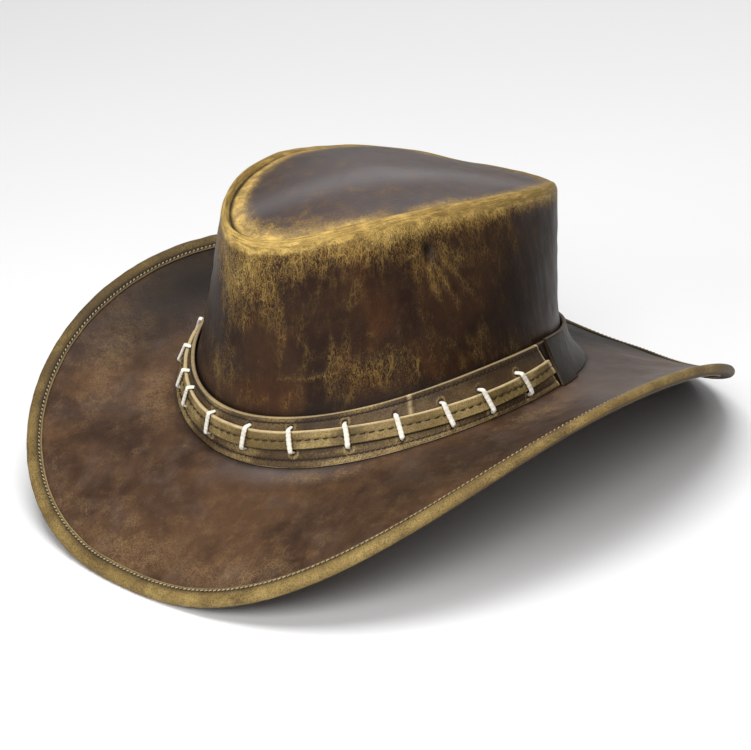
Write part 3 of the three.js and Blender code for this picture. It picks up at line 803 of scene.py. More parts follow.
rows += [
    (above_brim(AROUND, brim_share(AROUND, -collar_inside), -BRIM_THICKNESS), 2, 0),
    (off(wall_point, AROUND, collar_foot, -collar_inside), 0, 0),
    (off(wall_point, AROUND, (collar_top + collar_foot) / 2, -collar_inside), 0, 0),
]
brim_grid, part, along, angle = section_grid(rows)
creased = 0.04 + 0.1 * hump(turn_from(angle, 4), 50) * hump(along - 0.75, 0.35)
worn = (part == 1) * np.clip(creased + patches(angle, along, BRIM_WEAR), 0, 1)
# Painted shade on the brim where the crown shades its far side on the wearer's right, over the far brim at the back,
# and at its foot under the band; it is also darker in a patch on the wearer's left.
painted_shade = 0.95 * hump(turn_from(angle, -86), 44) * hump(along - 0.62, 0.8) + 0.95 * hump(turn_from(angle, -176), 44)
painted_shade = painted_shade + 0.5 * hump(turn_from(angle, 60), 30) * hump(along - 0.5, 0.5)
dark = (part == 1) * np.maximum((1 - smooth_step(along, 0.0, 0.07)) * 0.8, painted_shade)
# Painted highlight on the brim just beside the crown at the front left, and painted sheen over the brim towards the
# back on the wearer's left.
painted_sheen = 0.6 * hump(turn_from(angle, 20), 34) * hump(along - 0.05, 0.16)
painted_sheen = (part == 1) * (painted_sheen + 0.22 * hump(turn_from(angle, 104), 44) * hump(along - 0.4, 0.6))
numbers = np.arange(brim_grid.shape[0] * len(AROUND)).reshape(-1, len(AROUND))
brim = leather_mesh(
    "curled_brim",
    brim_grid.reshape(-1, 3),
    ring_order(numbers, True, True),
    {
        "worn": worn.ravel(),
        "dark": dark.ravel(),
        "cut": np.zeros(worn.size),
        "flesh": ((part == 0) * 1.0).ravel(),
        "painted_sheen": painted_sheen.ravel(),
        "flow": brim_grid.reshape(-1, 3),
    },
)
brim_leather = leather(
    "brim_pull_up_leather",
    wax=rgb(0.038, 0.018, 0.0095),
    brown=rgb(0.088, 0.044, 0.02),
    haze=rgb(0.086, 0.055, 0.04),
    gold=rgb(0.42, 0.28, 0.14),
    gloss=0.42,
    fibre_scale=0.48,
    haze_amount=0.7,
    crackle=0.75,
)
brim.data.materials.append(brim_leather)
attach(brim, "root")
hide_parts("brim")

# %% [markdown]
# ## The binding
# A strip of tan leather is folded over the brim's cut edge and sewn through. Wrapped from a
# profile, it gets its rounded fold and its two flat wings, and the pull of every stitch: a small
# pucker, repeated at the stitch's pitch along the edge's real length rather than its angle.

# %% Places along the brim's edge
STITCH_PITCH = 2.55
SEAM_FROM_OUTLINE = BINDING_WIDTH - 1.35
FINE = np.linspace(0, 2 * np.pi, 2881)
edge_line = brim_point(FINE, 1.0)
edge_length = np.concatenate([[0], np.cumsum(np.linalg.norm(np.diff(edge_line, axis=0), axis=1))])
stitch_count = int(round(edge_length[-1] / STITCH_PITCH))


def edge_angle(turns):
    """The angle round the hat at a share of the way along the bound edge."""
    return np.interp(np.mod(turns, 1.0) * edge_length[-1], edge_length, FINE)


print("bound edge:", round(float(edge_length[-1])), "mm,", stitch_count, "stitches")

# %% Skin the binding
per_stitch = 4
turns = np.arange(stitch_count * per_stitch) / (stitch_count * per_stitch)
edge = edge_angle(turns)
pucker = 0.5 + 0.5 * np.cos(2 * np.pi * turns * stitch_count)
inner = share_from_outline(edge, BINDING_WIDTH)
seam = share_from_outline(edge, SEAM_FROM_OUTLINE)
fold = share_from_outline(edge, BINDING_THICKNESS)
edge_places = brim_point(edge, 1.0)
inner = inner + 0.16 * ripples(edge_places, 16, 21) * 0.5 / 60
far = CLEARANCE + BINDING_THICKNESS
normal = -face_normal(brim_point, edge, np.ones_like(edge))
along_edge = brim_point(edge + STEP, 1.0) - brim_point(edge - STEP, 1.0)
away = np.cross(along_edge, normal)
away /= np.linalg.norm(away, axis=1, keepdims=True)
away *= np.sign((away * outward(edge)).sum(1, keepdims=True))
middle = above_brim(edge, 1.0, -BRIM_THICKNESS / 2)
soft = 0.1 * ripples(edge_places, 7, 22)


def on_round(degrees):
    """A point of the rounded fold: middle + radius * (away * cos + normal * sin)."""
    turn = math.radians(degrees)
    lift = (EDGE_RADIUS + soft * abs(math.cos(turn)) * 0.8)[:, None]
    return middle + lift * (away * math.cos(turn) + normal * math.sin(turn))


def on_wing(place, height):
    """A point of a flat wing at a height over the brim's top face."""
    return above_brim(edge, place, height)


between = np.linspace(0, 1, 5)[1:-1]
rows = [
    (on_wing(inner, CLEARANCE), 1.0),
    (on_wing(inner, CLEARANCE + 0.55), 0.9),
    (on_wing(inner * 0.85 + seam * 0.15, far - 0.12), 0.35),
    (on_wing(inner * 0.45 + seam * 0.55, far + 0.02 - 0.1 * pucker), 0.0),
    (on_wing(seam, far - 0.36 - 0.1 * (1 - pucker)), 0.0),
    (on_wing(seam * 0.85 + fold * 0.15, far - 0.05 - 0.12 * pucker), 0.0),
]
rows += [
    (on_wing(seam * (0.8 - 0.8 * t) + 1.0 * (0.2 + 0.8 * t), far + soft * 0.5 - 0.04 * pucker * (1 - t)), 0.0)
    for t in between
]
rows += [(on_round(degrees), 0.0) for degrees in (84, 66, 48, 30, 12, -6, -24, -42, -58, -74, -88)]
rows += [(on_wing(seam * t + 1.0 * (1 - t), -BRIM_THICKNESS - far), 0.0) for t in between]
rows += [
    (on_wing(seam, -BRIM_THICKNESS - far + 0.36), 0.0),
    (on_wing(inner * 0.85 + seam * 0.15, -BRIM_THICKNESS - far + 0.12), 0.35),
    (on_wing(inner, -BRIM_THICKNESS - CLEARANCE), 1.0),
    (on_wing(fold, -BRIM_THICKNESS - CLEARANCE), 0.0),
    (on_wing(fold, CLEARANCE), 0.0),
]
binding_grid = np.stack([points for points, _ in rows])
binding_grid[..., 2] = np.maximum(binding_grid[..., 2], 0.0)
cut = np.stack([np.full(len(edge), value) for _, value in rows])
# Painted shade on the binding: its underside is darker and less golden, and it is darkened over the back where the
# crown shades the far brim and on the wearer's right. Its seam line is darker too, and dim_ends keeps it less golden on
# the wearer's right and near the back on the left.
underside_shade = smooth_step(-((binding_grid - middle) * normal).sum(-1), 0.9, 2.4)
in_seam = np.zeros(cut.shape)
in_seam[3:8] = np.array([0.35, 0.95, 0.6, 0.3, 0.1])[:, None]
in_shadow = 0.9 * hump(turn_from(edge, -176), 52)
dim_ends = 0.35 * hump(turn_from(edge, -75), 64) + 0.35 * hump(turn_from(edge, 142), 34)
worn = 0.8 + 0.16 * ripples(binding_grid, 24, 23) - 0.3 * underside_shade - dim_ends
seam_and_shade = in_seam + 0.45 * underside_shade + in_shadow + 0.25 * hump(turn_from(edge, -75), 64)
numbers = np.arange(cut.size).reshape(cut.shape)
binding = leather_mesh(
    "folded_binding",
    binding_grid.reshape(-1, 3),
    ring_order(numbers, True, True),
    {
        "worn": np.clip(worn, 0, 1).ravel(),
        "dark": np.clip(seam_and_shade, 0, 1).ravel(),
        "cut": (cut * 0.6).ravel(),
        "flesh": np.zeros(cut.size),
        "flow": binding_grid.reshape(-1, 3),
    },
)
binding_leather = leather(
    "tan_binding_leather",
    wax=rgb(0.075, 0.045, 0.014),
    brown=rgb(0.17, 0.11, 0.034),
    haze=rgb(0.13, 0.085, 0.036),
    gold=rgb(0.31, 0.215, 0.07),
    grain=1.4,
    gloss=0.52,
    fibre_scale=0.9,
    haze_amount=0.3,
    specks=0.6,
)
binding.data.materials.append(binding_leather)
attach(binding, "root")
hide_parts("brim_binding")

# %% [markdown]
# ## Stitches
# A stitch is a short length of waxed thread that rises from one hole, lies on the leather and
# dives into the next. One small bowed tube is worked out for every stitch at once: its rings
# follow half a sine wave above the surface. Curves with a bevel would do too, but hundreds of
# them would be slow, and one mesh for each row of stitches keeps the file light.

# %% Tubes along many short paths


def tubes(centres, normals, width, thickness, sides):
    """Rings round paths (path, ring, xyz): centre + side * width/2 * cos + normal * thickness/2 * sin,
    with side at right angles to the path and the normal."""
    step = np.gradient(centres, axis=1)
    side = np.cross(step, normals)
    side /= np.linalg.norm(side, axis=-1, keepdims=True)
    lift = np.cross(side, step)
    lift /= np.linalg.norm(lift, axis=-1, keepdims=True)
    turn = 2 * np.pi * (np.arange(sides) + 0.5) / sides
    width, thickness = (np.broadcast_to(size, centres.shape[:2])[..., None, None] / 2 for size in (width, thickness))
    across = side[:, :, None] * width * np.cos(turn)[:, None]
    return centres[:, :, None] + across + lift[:, :, None] * thickness * np.sin(turn)[:, None]


def tube_mesh(name, rings, marks):
    """One mesh from many tubes (path, ring, side, xyz), each closed by a flat face at both ends."""
    paths, count, sides = rings.shape[:3]
    block = np.arange(count * sides).reshape(count, sides)
    quads = ring_order(block, False, True)
    first = rings[0].reshape(-1, 3)
    flipped = is_inside_out(first - first.mean(0), quads)
    start = np.arange(paths) * count * sides
    all_quads = (quads[None] + start[:, None, None]).reshape(-1, 4)
    ends = [block[0][::-1], block[-1]]
    ends = [end[::-1] if flipped else end for end in ends]
    fans = (np.stack(ends)[None] + start[:, None, None]).reshape(-1, sides)
    all_quads = all_quads[:, ::-1] if flipped else all_quads
    return new_piece(name, rings.reshape(-1, 3), all_quads.tolist() + fans.tolist(), marks)


def stitch_row(name, surface, starts, length, width, height, lean=0.0):
    """Stitches on a surface(place along, distance across, lift) that gives points and normals, both in mm.
    Each rises by height * sin(pi * t)^0.6 from hole to hole."""
    t = np.linspace(0, 1, 7)
    place = starts[:, None] + (t - 0.5) * length
    lift = height * np.sin(np.pi * np.clip(t, 0.02, 0.98)) ** 0.6 - height * 0.35
    centres, normals = surface(place, lean * (t - 0.5) + np.zeros_like(place), lift + np.zeros_like(place))
    swell = 0.55 + 0.45 * np.sin(np.pi * t) ** 0.5
    return tube_mesh(name, tubes(centres, normals, width * swell, width * 0.8 * swell, 6), {})


# %% Stitches of the binding


def on_seam(place, across):
    """The angle and the share of the brim's width of a place along the binding's seam."""
    turn = edge_angle(place / edge_length[-1])
    return turn, share_from_outline(turn, SEAM_FROM_OUTLINE + across)


def on_binding_top(place, across, lift):
    """A place along the seam of the binding's upper wing."""
    turn, out = on_seam(place, across)
    return above_brim(turn, out, far - 0.2 + lift), -face_normal(brim_point, turn, out)


def on_binding_under(place, across, lift):
    """A place along the seam of the binding's lower wing."""
    turn, out = on_seam(place, across)
    return above_brim(turn, out, 0.2 - lift - far - BRIM_THICKNESS), face_normal(brim_point, turn, out)


starts = (np.arange(stitch_count) + 0.5) * edge_length[-1] / stitch_count
upper_stitches = stitch_row("binding_stitches_top", on_binding_top, starts, 1.6, 0.72, 0.4, 0.5)
under_stitches = stitch_row("binding_stitches_under", on_binding_under, starts, 1.6, 0.72, 0.36)


def thread(name, pale, shade, sheen=0.2):
    """Waxed thread: pale where it is clean and darker in its twist, with a fine twisted bump."""
    material, tree, shader = finish_material(name)
    place = in_millimetres(tree)
    grime = noise(tree, place, 0.5, 3, 0.6)
    strands = noise(tree, place, 3.2, 2, 0.5)
    colour = blend(tree, ease(tree, grime, 0.35, 0.7), pale, shade)
    plug_in(tree, shader, colour, ease(tree, grime, 0.3, 0.8, 0.5, 0.72), strands, 0.5, 0.00012)
    shader.inputs["Sheen Weight"].default_value = sheen
    shader.inputs["Specular IOR Level"].default_value = 0.3
    return material


pale_thread = thread("cream_waxed_thread", rgb(0.36, 0.28, 0.165), rgb(0.2, 0.145, 0.08))
for row in (upper_stitches, under_stitches):
    row.data.materials.append(pale_thread)
    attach(row, "root")

# %% [markdown]
# ## The band's own surface
# The band is a strip that leans against the foot of the crown. Its surface is worked out from
# three levels, foot, middle and top, each at a given distance from the crown, and a parabola
# joins them. A place on it is a length round the hat and a length up, both in real millimetres,
# so that straps, laces, holes and stitches can all be laid out as on a cutting bench.

# %% Sizes of the band
BAND_WIDTH, BAND_THICKNESS, BAND_STANDOFF, BAND_HALF_LENGTH, END_SLANT_LENGTH = 23.6, 1.8, 0.7, 180, 12
STRAP_WIDTH, STRAP_NARROWING, STRAP_START, STRAP_THICKNESS = 8.8, 1.6, 8.6, 1.8
STRAP_SAG, STRAP_SAG_AT, STRAP_SAG_SPREAD = 3.6, 75, 50
STRAP_MIDDLE, STRAP_TOP = STRAP_START + STRAP_WIDTH / 2, STRAP_START + STRAP_WIDTH
KEEPER_WIDTH, KEEPER_THICKNESS, KEEPER_OVERHANG, KEEPER_SLANT_SHARE = 22, 1.6, 1.4, 0.6
LACE_WIDTH, LACE_THICKNESS, LACE_LENGTH, LACE_PITCH = 2.5, 1.5, 12, 24.2
LACES = np.array([-6.45, -5.42, -4.3, -3.23, -2.28, -1.62, -0.51, 0.52, 1.52, 2.62, 3.62, 4.58, 5.44, 6.44])
LACE_SLANTS = np.array([-5, -5, -5, -5, -5, -4.6, -3.2, -2.6, 2, 2.2, 2.6, 3.7, 4.5, 5.2])

# %% Points of the band
LEVELS = np.array([0, BAND_WIDTH / 2, BAND_WIDTH])
TURNS = np.linspace(-np.pi * 1.5, np.pi * 1.5, 1081)
LEVEL_SHARES = [wall_share_at(TURNS, level) for level in LEVELS[1:]]


def level_point(angle, distance, index):
    """The band at one of its three levels, at a distance out from the crown."""
    gap = CLEARANCE + distance + BAND_STANDOFF * LEVELS[index] / BAND_WIDTH
    if index == 0:
        return above_brim(angle, brim_share(angle, gap), CLEARANCE)
    return off(wall_point, angle, np.interp(angle, TURNS, LEVEL_SHARES[index - 1]), gap)


def band_point(angle, up, distance):
    """A parabola through the three levels: the sum of each level times its own share of up."""
    angle, up, distance = np.broadcast_arrays(*(np.asarray(v, float) for v in (angle, up, distance)))
    t = (up / BAND_WIDTH)[..., None]
    weights = ((1 - t) * (1 - 2 * t), 4 * t * (1 - t), t * (2 * t - 1))
    return sum(weight * level_point(angle, distance, index) for index, weight in enumerate(weights))


middle_line = band_point(TURNS, BAND_WIDTH / 2, BAND_THICKNESS)
middle_length = np.concatenate([[0], np.cumsum(np.linalg.norm(np.diff(middle_line, axis=0), axis=1))])
middle_length -= np.interp(0, TURNS, middle_length)


def band_angle(length):
    """The angle at a length round the middle of the band from the front, found by measuring it."""
    return np.interp(length, middle_length, TURNS)


def on_band(length, up, distance):
    """A place on the band from its two lengths and its distance out."""
    return band_point(band_angle(length), up, distance)


half_round = float(np.interp(np.pi, TURNS, middle_length))
print("band's middle line:", round(half_round * 2), "mm round")


def strap_sag(length):
    """How much lower the middle strap lies than at the front: 3.6 * hump(|degrees| - 75, 50)."""
    return STRAP_SAG * hump(np.abs(np.degrees(band_angle(length))) - STRAP_SAG_AT, STRAP_SAG_SPREAD)


def strap_height(length, up):
    """The middle strap's true height for a height on the strap as cut: it sags and narrows towards its cut ends,
    low + (up - STRAP_START) * width / STRAP_WIDTH, with width = 8.8 - 1.6 * |angle| / end angle."""
    turn = np.abs(band_angle(length)) / band_angle(BAND_HALF_LENGTH)
    width = STRAP_WIDTH - STRAP_NARROWING * turn
    return STRAP_START - strap_sag(length) + (up - STRAP_START) * width / STRAP_WIDTH


def on_bench(length, up):
    """A place on the band as it would lie flat on the bench."""
    return np.stack([length, up, np.zeros_like(up)], -1)


def beat(length, pitch):
    """A wave that is 1 at every stitch and -1 halfway between them: cos(2 * pi * length / pitch)."""
    return np.cos(2 * np.pi * length / pitch)


def cut_end(length, up):
    """1 on the last half millimetre before the slanted cut ends of the front strap, 0 before it."""
    slant = END_SLANT_LENGTH * (0.5 - up / BAND_WIDTH) * np.sign(length)
    return smooth_step(np.abs(length - slant), BAND_HALF_LENGTH - 1.4, BAND_HALF_LENGTH - 0.6)


# %% [markdown]
# ## Straps with rounded edges
# A cut strap isn't a box: its edges are bevelled and burnished, and its face swells a little
# between the rows of stitches. The strap's profile runs round a rectangle with rounded corners,
# and a relief function pushes single points of its face in or out, for grooves and holes.

# %% Skin a strap


def strap_profile(low, high, inner, outer, corner, count):
    """The section as (up, distance, part): up the face, over the top, down the back and under the foot.
    part is 1 on the face, 2 on the cut top, 3 on the back and 4 on the cut foot. Corners are quarter rounds:
    corner * (1 - sin turn) in from the side and corner * (1 - cos turn) in from the face."""
    bend = np.radians([20, 50, 80])
    side, front = corner * (1 - np.sin(bend)), corner * (1 - np.cos(bend))
    face = np.linspace(low + corner, high - corner, count)
    waist = (inner + outer - corner) / 2
    up = [low + side[::-1], face, high - side, [high], np.linspace(high, low, 5), [low]]
    distance = [outer - front[::-1], np.full(count, outer), outer - front, [waist], np.full(5, inner), [waist]]
    parts = [[4] * 3, [1] * count, [2] * 3, [2], [3] * 5, [4]]
    return tuple(np.concatenate(lists) for lists in (up, distance, parts))


def strap(name, lengths, slants, profile, relief, marks, height_of=lambda length, up: up):
    """A strap along lengths of the band, its sections leaning by slants, closed by a flat face at each end.
    A section's place is length + slant * (1/2 - up/width). relief and marks are functions of (place, up, part),
    and height_of moves a whole section up or down the band."""
    up, distance, part = (column[:, None] + np.zeros(len(lengths)) for column in profile)
    height = height_of(lengths[None], up)
    place = lengths[None] + slants[None] * (0.5 - height / BAND_WIDTH)
    face = (part == 1) * 1.0
    grid = on_band(place, height, distance + relief(place, up) * face)
    numbers = np.arange(up.size).reshape(up.shape)
    quads = ring_order(numbers, True, False)
    points = grid.reshape(-1, 3)
    flipped = is_inside_out(points - points.mean(0), quads)
    ends = [numbers[:, 0][::-1], numbers[:, -1]]
    ends = [end[::-1] if flipped else end for end in ends]
    painted = {key: np.clip(values, 0, 1).ravel() for key, values in marks(place, up, part).items()}
    painted["flow"] = np.stack([np.sin(place / 80) * 80, np.cos(place / 80) * 80, up * 0.6], -1).reshape(-1, 3)
    return leather_mesh(name, points, quads, painted, ends)


def slants_between(lengths, first, last):
    """A slant that changes evenly from one end of a strap to the other."""
    return np.interp(lengths, [lengths[0], lengths[-1]], [first, last])


# %% Where laces, holes and rows of stitches lie
lace_length = LACES * LACE_PITCH
lace_low = strap_height(lace_length, STRAP_MIDDLE) - LACE_LENGTH / 2
hole_places = np.concatenate(
    [
        np.stack([lace_length + LACE_SLANTS / 2, lace_low + 0.2], 1),
        np.stack([lace_length - LACE_SLANTS / 2, lace_low + LACE_LENGTH - 0.2], 1),
    ]
)
ROW_LOW, ROW_HIGH, ROW_STRAP = 3.7, 20.9, 12.8
SEAM_PLACE = 95.0


def low_row_height(length):
    """The lower sewn row gives way a little where the middle strap sags: 3.7 - 0.38 * sag."""
    return ROW_LOW - 0.38 * strap_sag(length)


def from_holes(place, up):
    """Distance to the nearest lace hole, in mm."""
    reach = np.full(place.shape, 9.0)
    for x, y in hole_places:
        reach = np.minimum(reach, np.hypot(place - x, (up - y) * 0.85))
    return reach


def groove(up, row, width, depth):
    """A pressed line along a row: -depth * exp(-(distance / width)^2)."""
    return -depth * np.exp(-(((up - row) / width) ** 2))


def band_relief(place, up):
    """The face of the front strap: grooves of the two sewn rows, pinched at each stitch, lace holes with a
    raised rim, a lapped seam on the left, and soft unevenness."""
    pinch = 0.6 + 0.4 * beat(place, STITCH_PITCH)
    rows = (groove(up, low_row_height(place), 0.7, 0.32) + groove(up, ROW_HIGH, 0.7, 0.32)) * pinch
    reach = from_holes(place, up)
    holes = -1.0 * np.exp(-((reach / 0.95) ** 2)) + 0.28 * np.exp(-(((reach - 1.9) / 0.7) ** 2))
    lap_end = 1 - smooth_step(place, SEAM_PLACE, SEAM_PLACE + 2.5)
    lap = 0.45 * smooth_step(place, SEAM_PLACE - 2.2, SEAM_PLACE - 1.9) * lap_end * smooth_step(up, 17.4, 18.2)
    spot = on_bench(place, up)
    pillow = 0.16 * np.sin(np.pi * np.clip((up - ROW_LOW) / (ROW_HIGH - ROW_LOW), 0, 1))
    pillow = pillow + 0.22 * hump(up - ROW_LOW * 0.45, 1.7)
    return rows + holes + lap + pillow + 0.09 * ripples(spot, 14, 31) + 0.05 * ripples(spot, 4, 32)


def band_marks(place, up, part):
    """Marks of the front strap: worn gold on its lower and upper margins, pale cut edges, painted shade in the lace
    holes, dark rows, painted shadow under the middle strap and painted shade on its back.
    """
    reach = from_holes(place, up)
    blotch = 0.35 * ripples(on_bench(place, up), 26, 33)
    margin = 0.65 * hump(up - 1.6, 3.4) + 0.72 * hump(up - 6.0, 3.4) + 0.3 * hump(up - 22.4, 2.2)
    rim = 0.8 * hump(reach - 2.1, 1.2)
    seam = hump(place - (SEAM_PLACE - 1.2), 1.8) * smooth_step(up, 13.6, 14.6)
    pinch = 0.55 + 0.45 * beat(place, STITCH_PITCH)
    rows = (hump(up - low_row_height(place), 0.8) + hump(up - ROW_HIGH, 0.8)) * pinch
    shadow_under_strap = hump(up - (strap_height(place, STRAP_START) - 0.2), 0.9)
    shade = 0.62 * smooth_step(up, 17.0, 19.0) * (1 - smooth_step(up, 22.6, 23.4))
    # Painted shade in the lace holes and painted shadow under the middle strap; shade also darkens the upper band, and
    # the back face gets painted shade against the crown.
    dark = 0.9 * np.exp(-((reach / 1.15) ** 2)) + 0.75 * rows + 0.85 * shadow_under_strap + 0.3 * shade * (place < 200)
    return {
        "worn": margin + blotch + rim + 1.1 * seam,
        "dark": np.where(part == 3, 0.4, dark * (part == 1)),
        "cut": (part == 2) * 0.45 + (part == 4) * 0.6 + 0.85 * cut_end(place, up) + 0.5 * seam,
        "flesh": (part == 3) * 1.0,
    }


# %% Front strap
band_lengths = np.linspace(-BAND_HALF_LENGTH, BAND_HALF_LENGTH, 601)
band_slants = slants_between(band_lengths, -END_SLANT_LENGTH, END_SLANT_LENGTH)
band_front = strap(
    "sewn_front_strap",
    band_lengths,
    band_slants,
    strap_profile(0, BAND_WIDTH, 0, BAND_THICKNESS, 0.7, 44),
    band_relief,
    band_marks,
)
band_leather = leather(
    "sewn_band_leather",
    wax=rgb(0.05, 0.027, 0.011),
    brown=rgb(0.125, 0.076, 0.031),
    haze=rgb(0.12, 0.08, 0.045),
    gold=rgb(0.33, 0.235, 0.1),
    grain=0.9,
    gloss=0.5,
    fibre_scale=0.8,
    haze_amount=0.4,
    specks=0.8,
)
band_front.data.materials.append(band_leather)
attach(band_front, "root")
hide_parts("band_front")

# %% Middle strap
strap_inner = BAND_THICKNESS + CLEARANCE
strap_outer = strap_inner + STRAP_THICKNESS
STRAP_PITCH = 4.3


def strap_relief(place, up):
    """A sewn groove along the middle of the strap, and a little unevenness."""
    pinch = 0.5 + 0.5 * beat(place, STRAP_PITCH)
    spot = on_bench(place, up)
    nicks = 0.07 * ripples(spot, 5, 35) + 0.1 * ripples(spot, 18, 36)
    crossings = zip(lace_length, LACE_SLANTS / LACE_LENGTH)
    press = -0.25 * sum(np.exp(-(((place - x - (STRAP_MIDDLE - up) * lean) / 1.5) ** 2)) for x, lean in crossings)
    return groove(up, ROW_STRAP, 0.65, 0.3) * (0.6 + 0.4 * pinch) + nicks + press


def strap_marks(place, up, part):
    """Marks of the middle strap: a pale cut top edge, golden face, a darker sewn line and painted shade on its foot."""
    blotch = 0.28 * ripples(on_bench(place, up), 22, 37)
    top_edge = (part == 2) * 1.0 + (part == 1) * smooth_step(up, STRAP_TOP - 1.1, STRAP_TOP - 0.75)
    return {
        "worn": 0.62 + blotch - 0.2 * hump(up - ROW_STRAP, 2.0),
        "dark": 0.35 * hump(up - ROW_STRAP, 0.6) + (part == 4) * 0.55,
        "cut": 0.95 * top_edge + 0.85 * cut_end(place, up),
        "flesh": (part == 3) * 1.0,
    }


middle_strap = strap(
    "laced_middle_strap",
    band_lengths,
    band_slants,
    strap_profile(STRAP_START, STRAP_TOP, strap_inner, strap_outer, 0.55, 22),
    strap_relief,
    strap_marks,
    strap_height,
)
strap_leather = leather(
    "golden_strap_leather",
    wax=rgb(0.088, 0.058, 0.016),
    brown=rgb(0.175, 0.118, 0.036),
    haze=rgb(0.15, 0.103, 0.042),
    gold=rgb(0.32, 0.23, 0.09),
    grain=0.9,
    gloss=0.5,
    fibre_scale=0.8,
    haze_amount=0.4,
    specks=0.55,
)
middle_strap.data.materials.append(strap_leather)
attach(middle_strap, "root")
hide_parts("band_middle_strap")

# %% [markdown]
# ## Back strap and keepers
# Round the back the band is a plain dark strap, and a smooth keeper on each side covers the
# joint. They come from the same strap maker, with a swelling face in place of sewn rows.

# %% Back strap and keepers
end_gap = 0.6


def plain_relief(place, up):
    """Soft unevenness of a plain strap."""
    spot = on_bench(place, up)
    return 0.12 * ripples(spot, 20, 41) + 0.04 * ripples(spot, 6, 42)


def plain_marks(place, up, part):
    """Marks of a plain strap: slightly rubbed along its edges, with painted shade on its foot and its back."""
    rub = 0.35 * (hump(up, 1.6) + hump(up - BAND_WIDTH, 1.8))
    return {
        "worn": rub * (part != 3),
        "dark": (part == 4) * 0.4 + (part == 3) * 0.3,
        "cut": ((part == 2) | (part == 4)) * 0.12,
        "flesh": (part == 3) * 1.0,
    }


back_lengths = np.linspace(BAND_HALF_LENGTH + end_gap, 2 * half_round - BAND_HALF_LENGTH - end_gap, 220)
band_back = strap(
    "plain_back_strap",
    back_lengths,
    slants_between(back_lengths, END_SLANT_LENGTH, -END_SLANT_LENGTH),
    strap_profile(0, BAND_WIDTH, 0, BAND_THICKNESS, 0.6, 16),
    plain_relief,
    plain_marks,
)
smooth_leather = leather(
    "smooth_dark_leather",
    wax=rgb(0.015, 0.01, 0.0055),
    brown=rgb(0.024, 0.0165, 0.009),
    haze=rgb(0.032, 0.025, 0.017),
    gold=rgb(0.09, 0.068, 0.045),
    grain=0.6,
    gloss=0.46,
    haze_amount=0.6,
    shine=0.13,
)


def keeper_relief(place, up):
    """The keeper's swelling face: 0.5 * sin across its height, over the plain unevenness."""
    swell = 0.5 * np.sin(np.pi * np.clip(up / (BAND_WIDTH + KEEPER_OVERHANG), 0, 1)) - 0.4
    return swell + plain_relief(place, up) * 0.5


def keeper(name, side):
    """A keeper on one side: from just beyond the front strap's cut end, KEEPER_WIDTH along the band."""
    near = BAND_HALF_LENGTH + END_SLANT_LENGTH / 4 + 1.1
    lengths = np.linspace(near, near + KEEPER_WIDTH, 48)
    slants = slants_between(lengths, END_SLANT_LENGTH * KEEPER_SLANT_SHARE, 0)
    if side < 0:
        lengths, slants = -lengths[::-1], -slants[::-1]
    profile = strap_profile(0, BAND_WIDTH + KEEPER_OVERHANG, strap_inner, strap_inner + KEEPER_THICKNESS, 0.75, 26)
    return strap(name, lengths, slants, profile, keeper_relief, plain_marks)


keepers = {"keeper_left": keeper("left_keeper", 1), "keeper_right": keeper("right_keeper", -1)}
for node_name, piece in {"band_back": band_back, **keepers}.items():
    piece.data.materials.append(smooth_leather)
    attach(piece, "root")
    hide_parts(node_name)

# %% [markdown]
# ## Stitches of the band and the laces
# The band is sewn with dark brown thread: two rows along the front strap and one along the
# middle strap. The laces are a soft flat cord: each comes up through a hole above the strap,
# crosses it on a slant and goes down through a hole below. A lace is a tube along a path, so
# its ends can turn down into the holes.

# %% Stitches of the band


def on_face(outer):
    """A surface for stitches on the band, at a distance out from the crown."""

    def surface(place, across, lift):
        spot = on_band(place, across, outer + lift)
        ahead = on_band(place + 0.5, across, outer + lift) - spot
        above = on_band(place, across + 0.5, outer + lift) - spot
        normals = np.cross(ahead, above)
        return spot, normals / np.linalg.norm(normals, axis=-1, keepdims=True)

    return surface


def band_stitches(name, row_height, pitch, outer, length, width, height):
    """One row of stitches along the front strap, clear of its cut ends and of the lace holes.
    row_height gives the row's height on the band at a length along it."""
    reach = BAND_HALF_LENGTH - 4 + END_SLANT_LENGTH * (0.5 - float(row_height(BAND_HALF_LENGTH)) / BAND_WIDTH)
    places = np.arange(-math.floor(reach / pitch), math.floor(reach / pitch) + 1) * pitch + pitch / 2
    places = places[np.abs(places) < reach]
    clear = from_holes(places, row_height(places)) > 1.5
    level = on_face(outer)

    def row_surface(place, across, lift):
        return level(place, across + row_height(place), lift)

    return stitch_row(name, row_surface, places[clear], length, width, height, 0.25)


def high_row_height(length):
    """The upper sewn row runs straight."""
    return ROW_HIGH + 0.0 * length


def strap_row_height(length):
    """The middle strap's row follows the strap."""
    return strap_height(length, ROW_STRAP)


low_row, high_row = (
    band_stitches(name, row_height, STITCH_PITCH, BAND_THICKNESS - 0.1, 1.75, 0.72, 0.34)
    for name, row_height in (
        ("front_strap_stitches_low", low_row_height),
        ("front_strap_stitches_high", high_row_height),
    )
)
strap_row = band_stitches("middle_strap_stitches", strap_row_height, STRAP_PITCH, strap_outer - 0.1, 2.6, 0.72, 0.3)
brown_thread = thread("brown_waxed_thread", rgb(0.026, 0.014, 0.007), rgb(0.014, 0.008, 0.004), 0.0)
for row, slot_name in ((low_row, "band_leather"), (high_row, "band_leather"), (strap_row, "strap_leather")):
    row.data.materials.append(brown_thread)
    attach(row, "root")

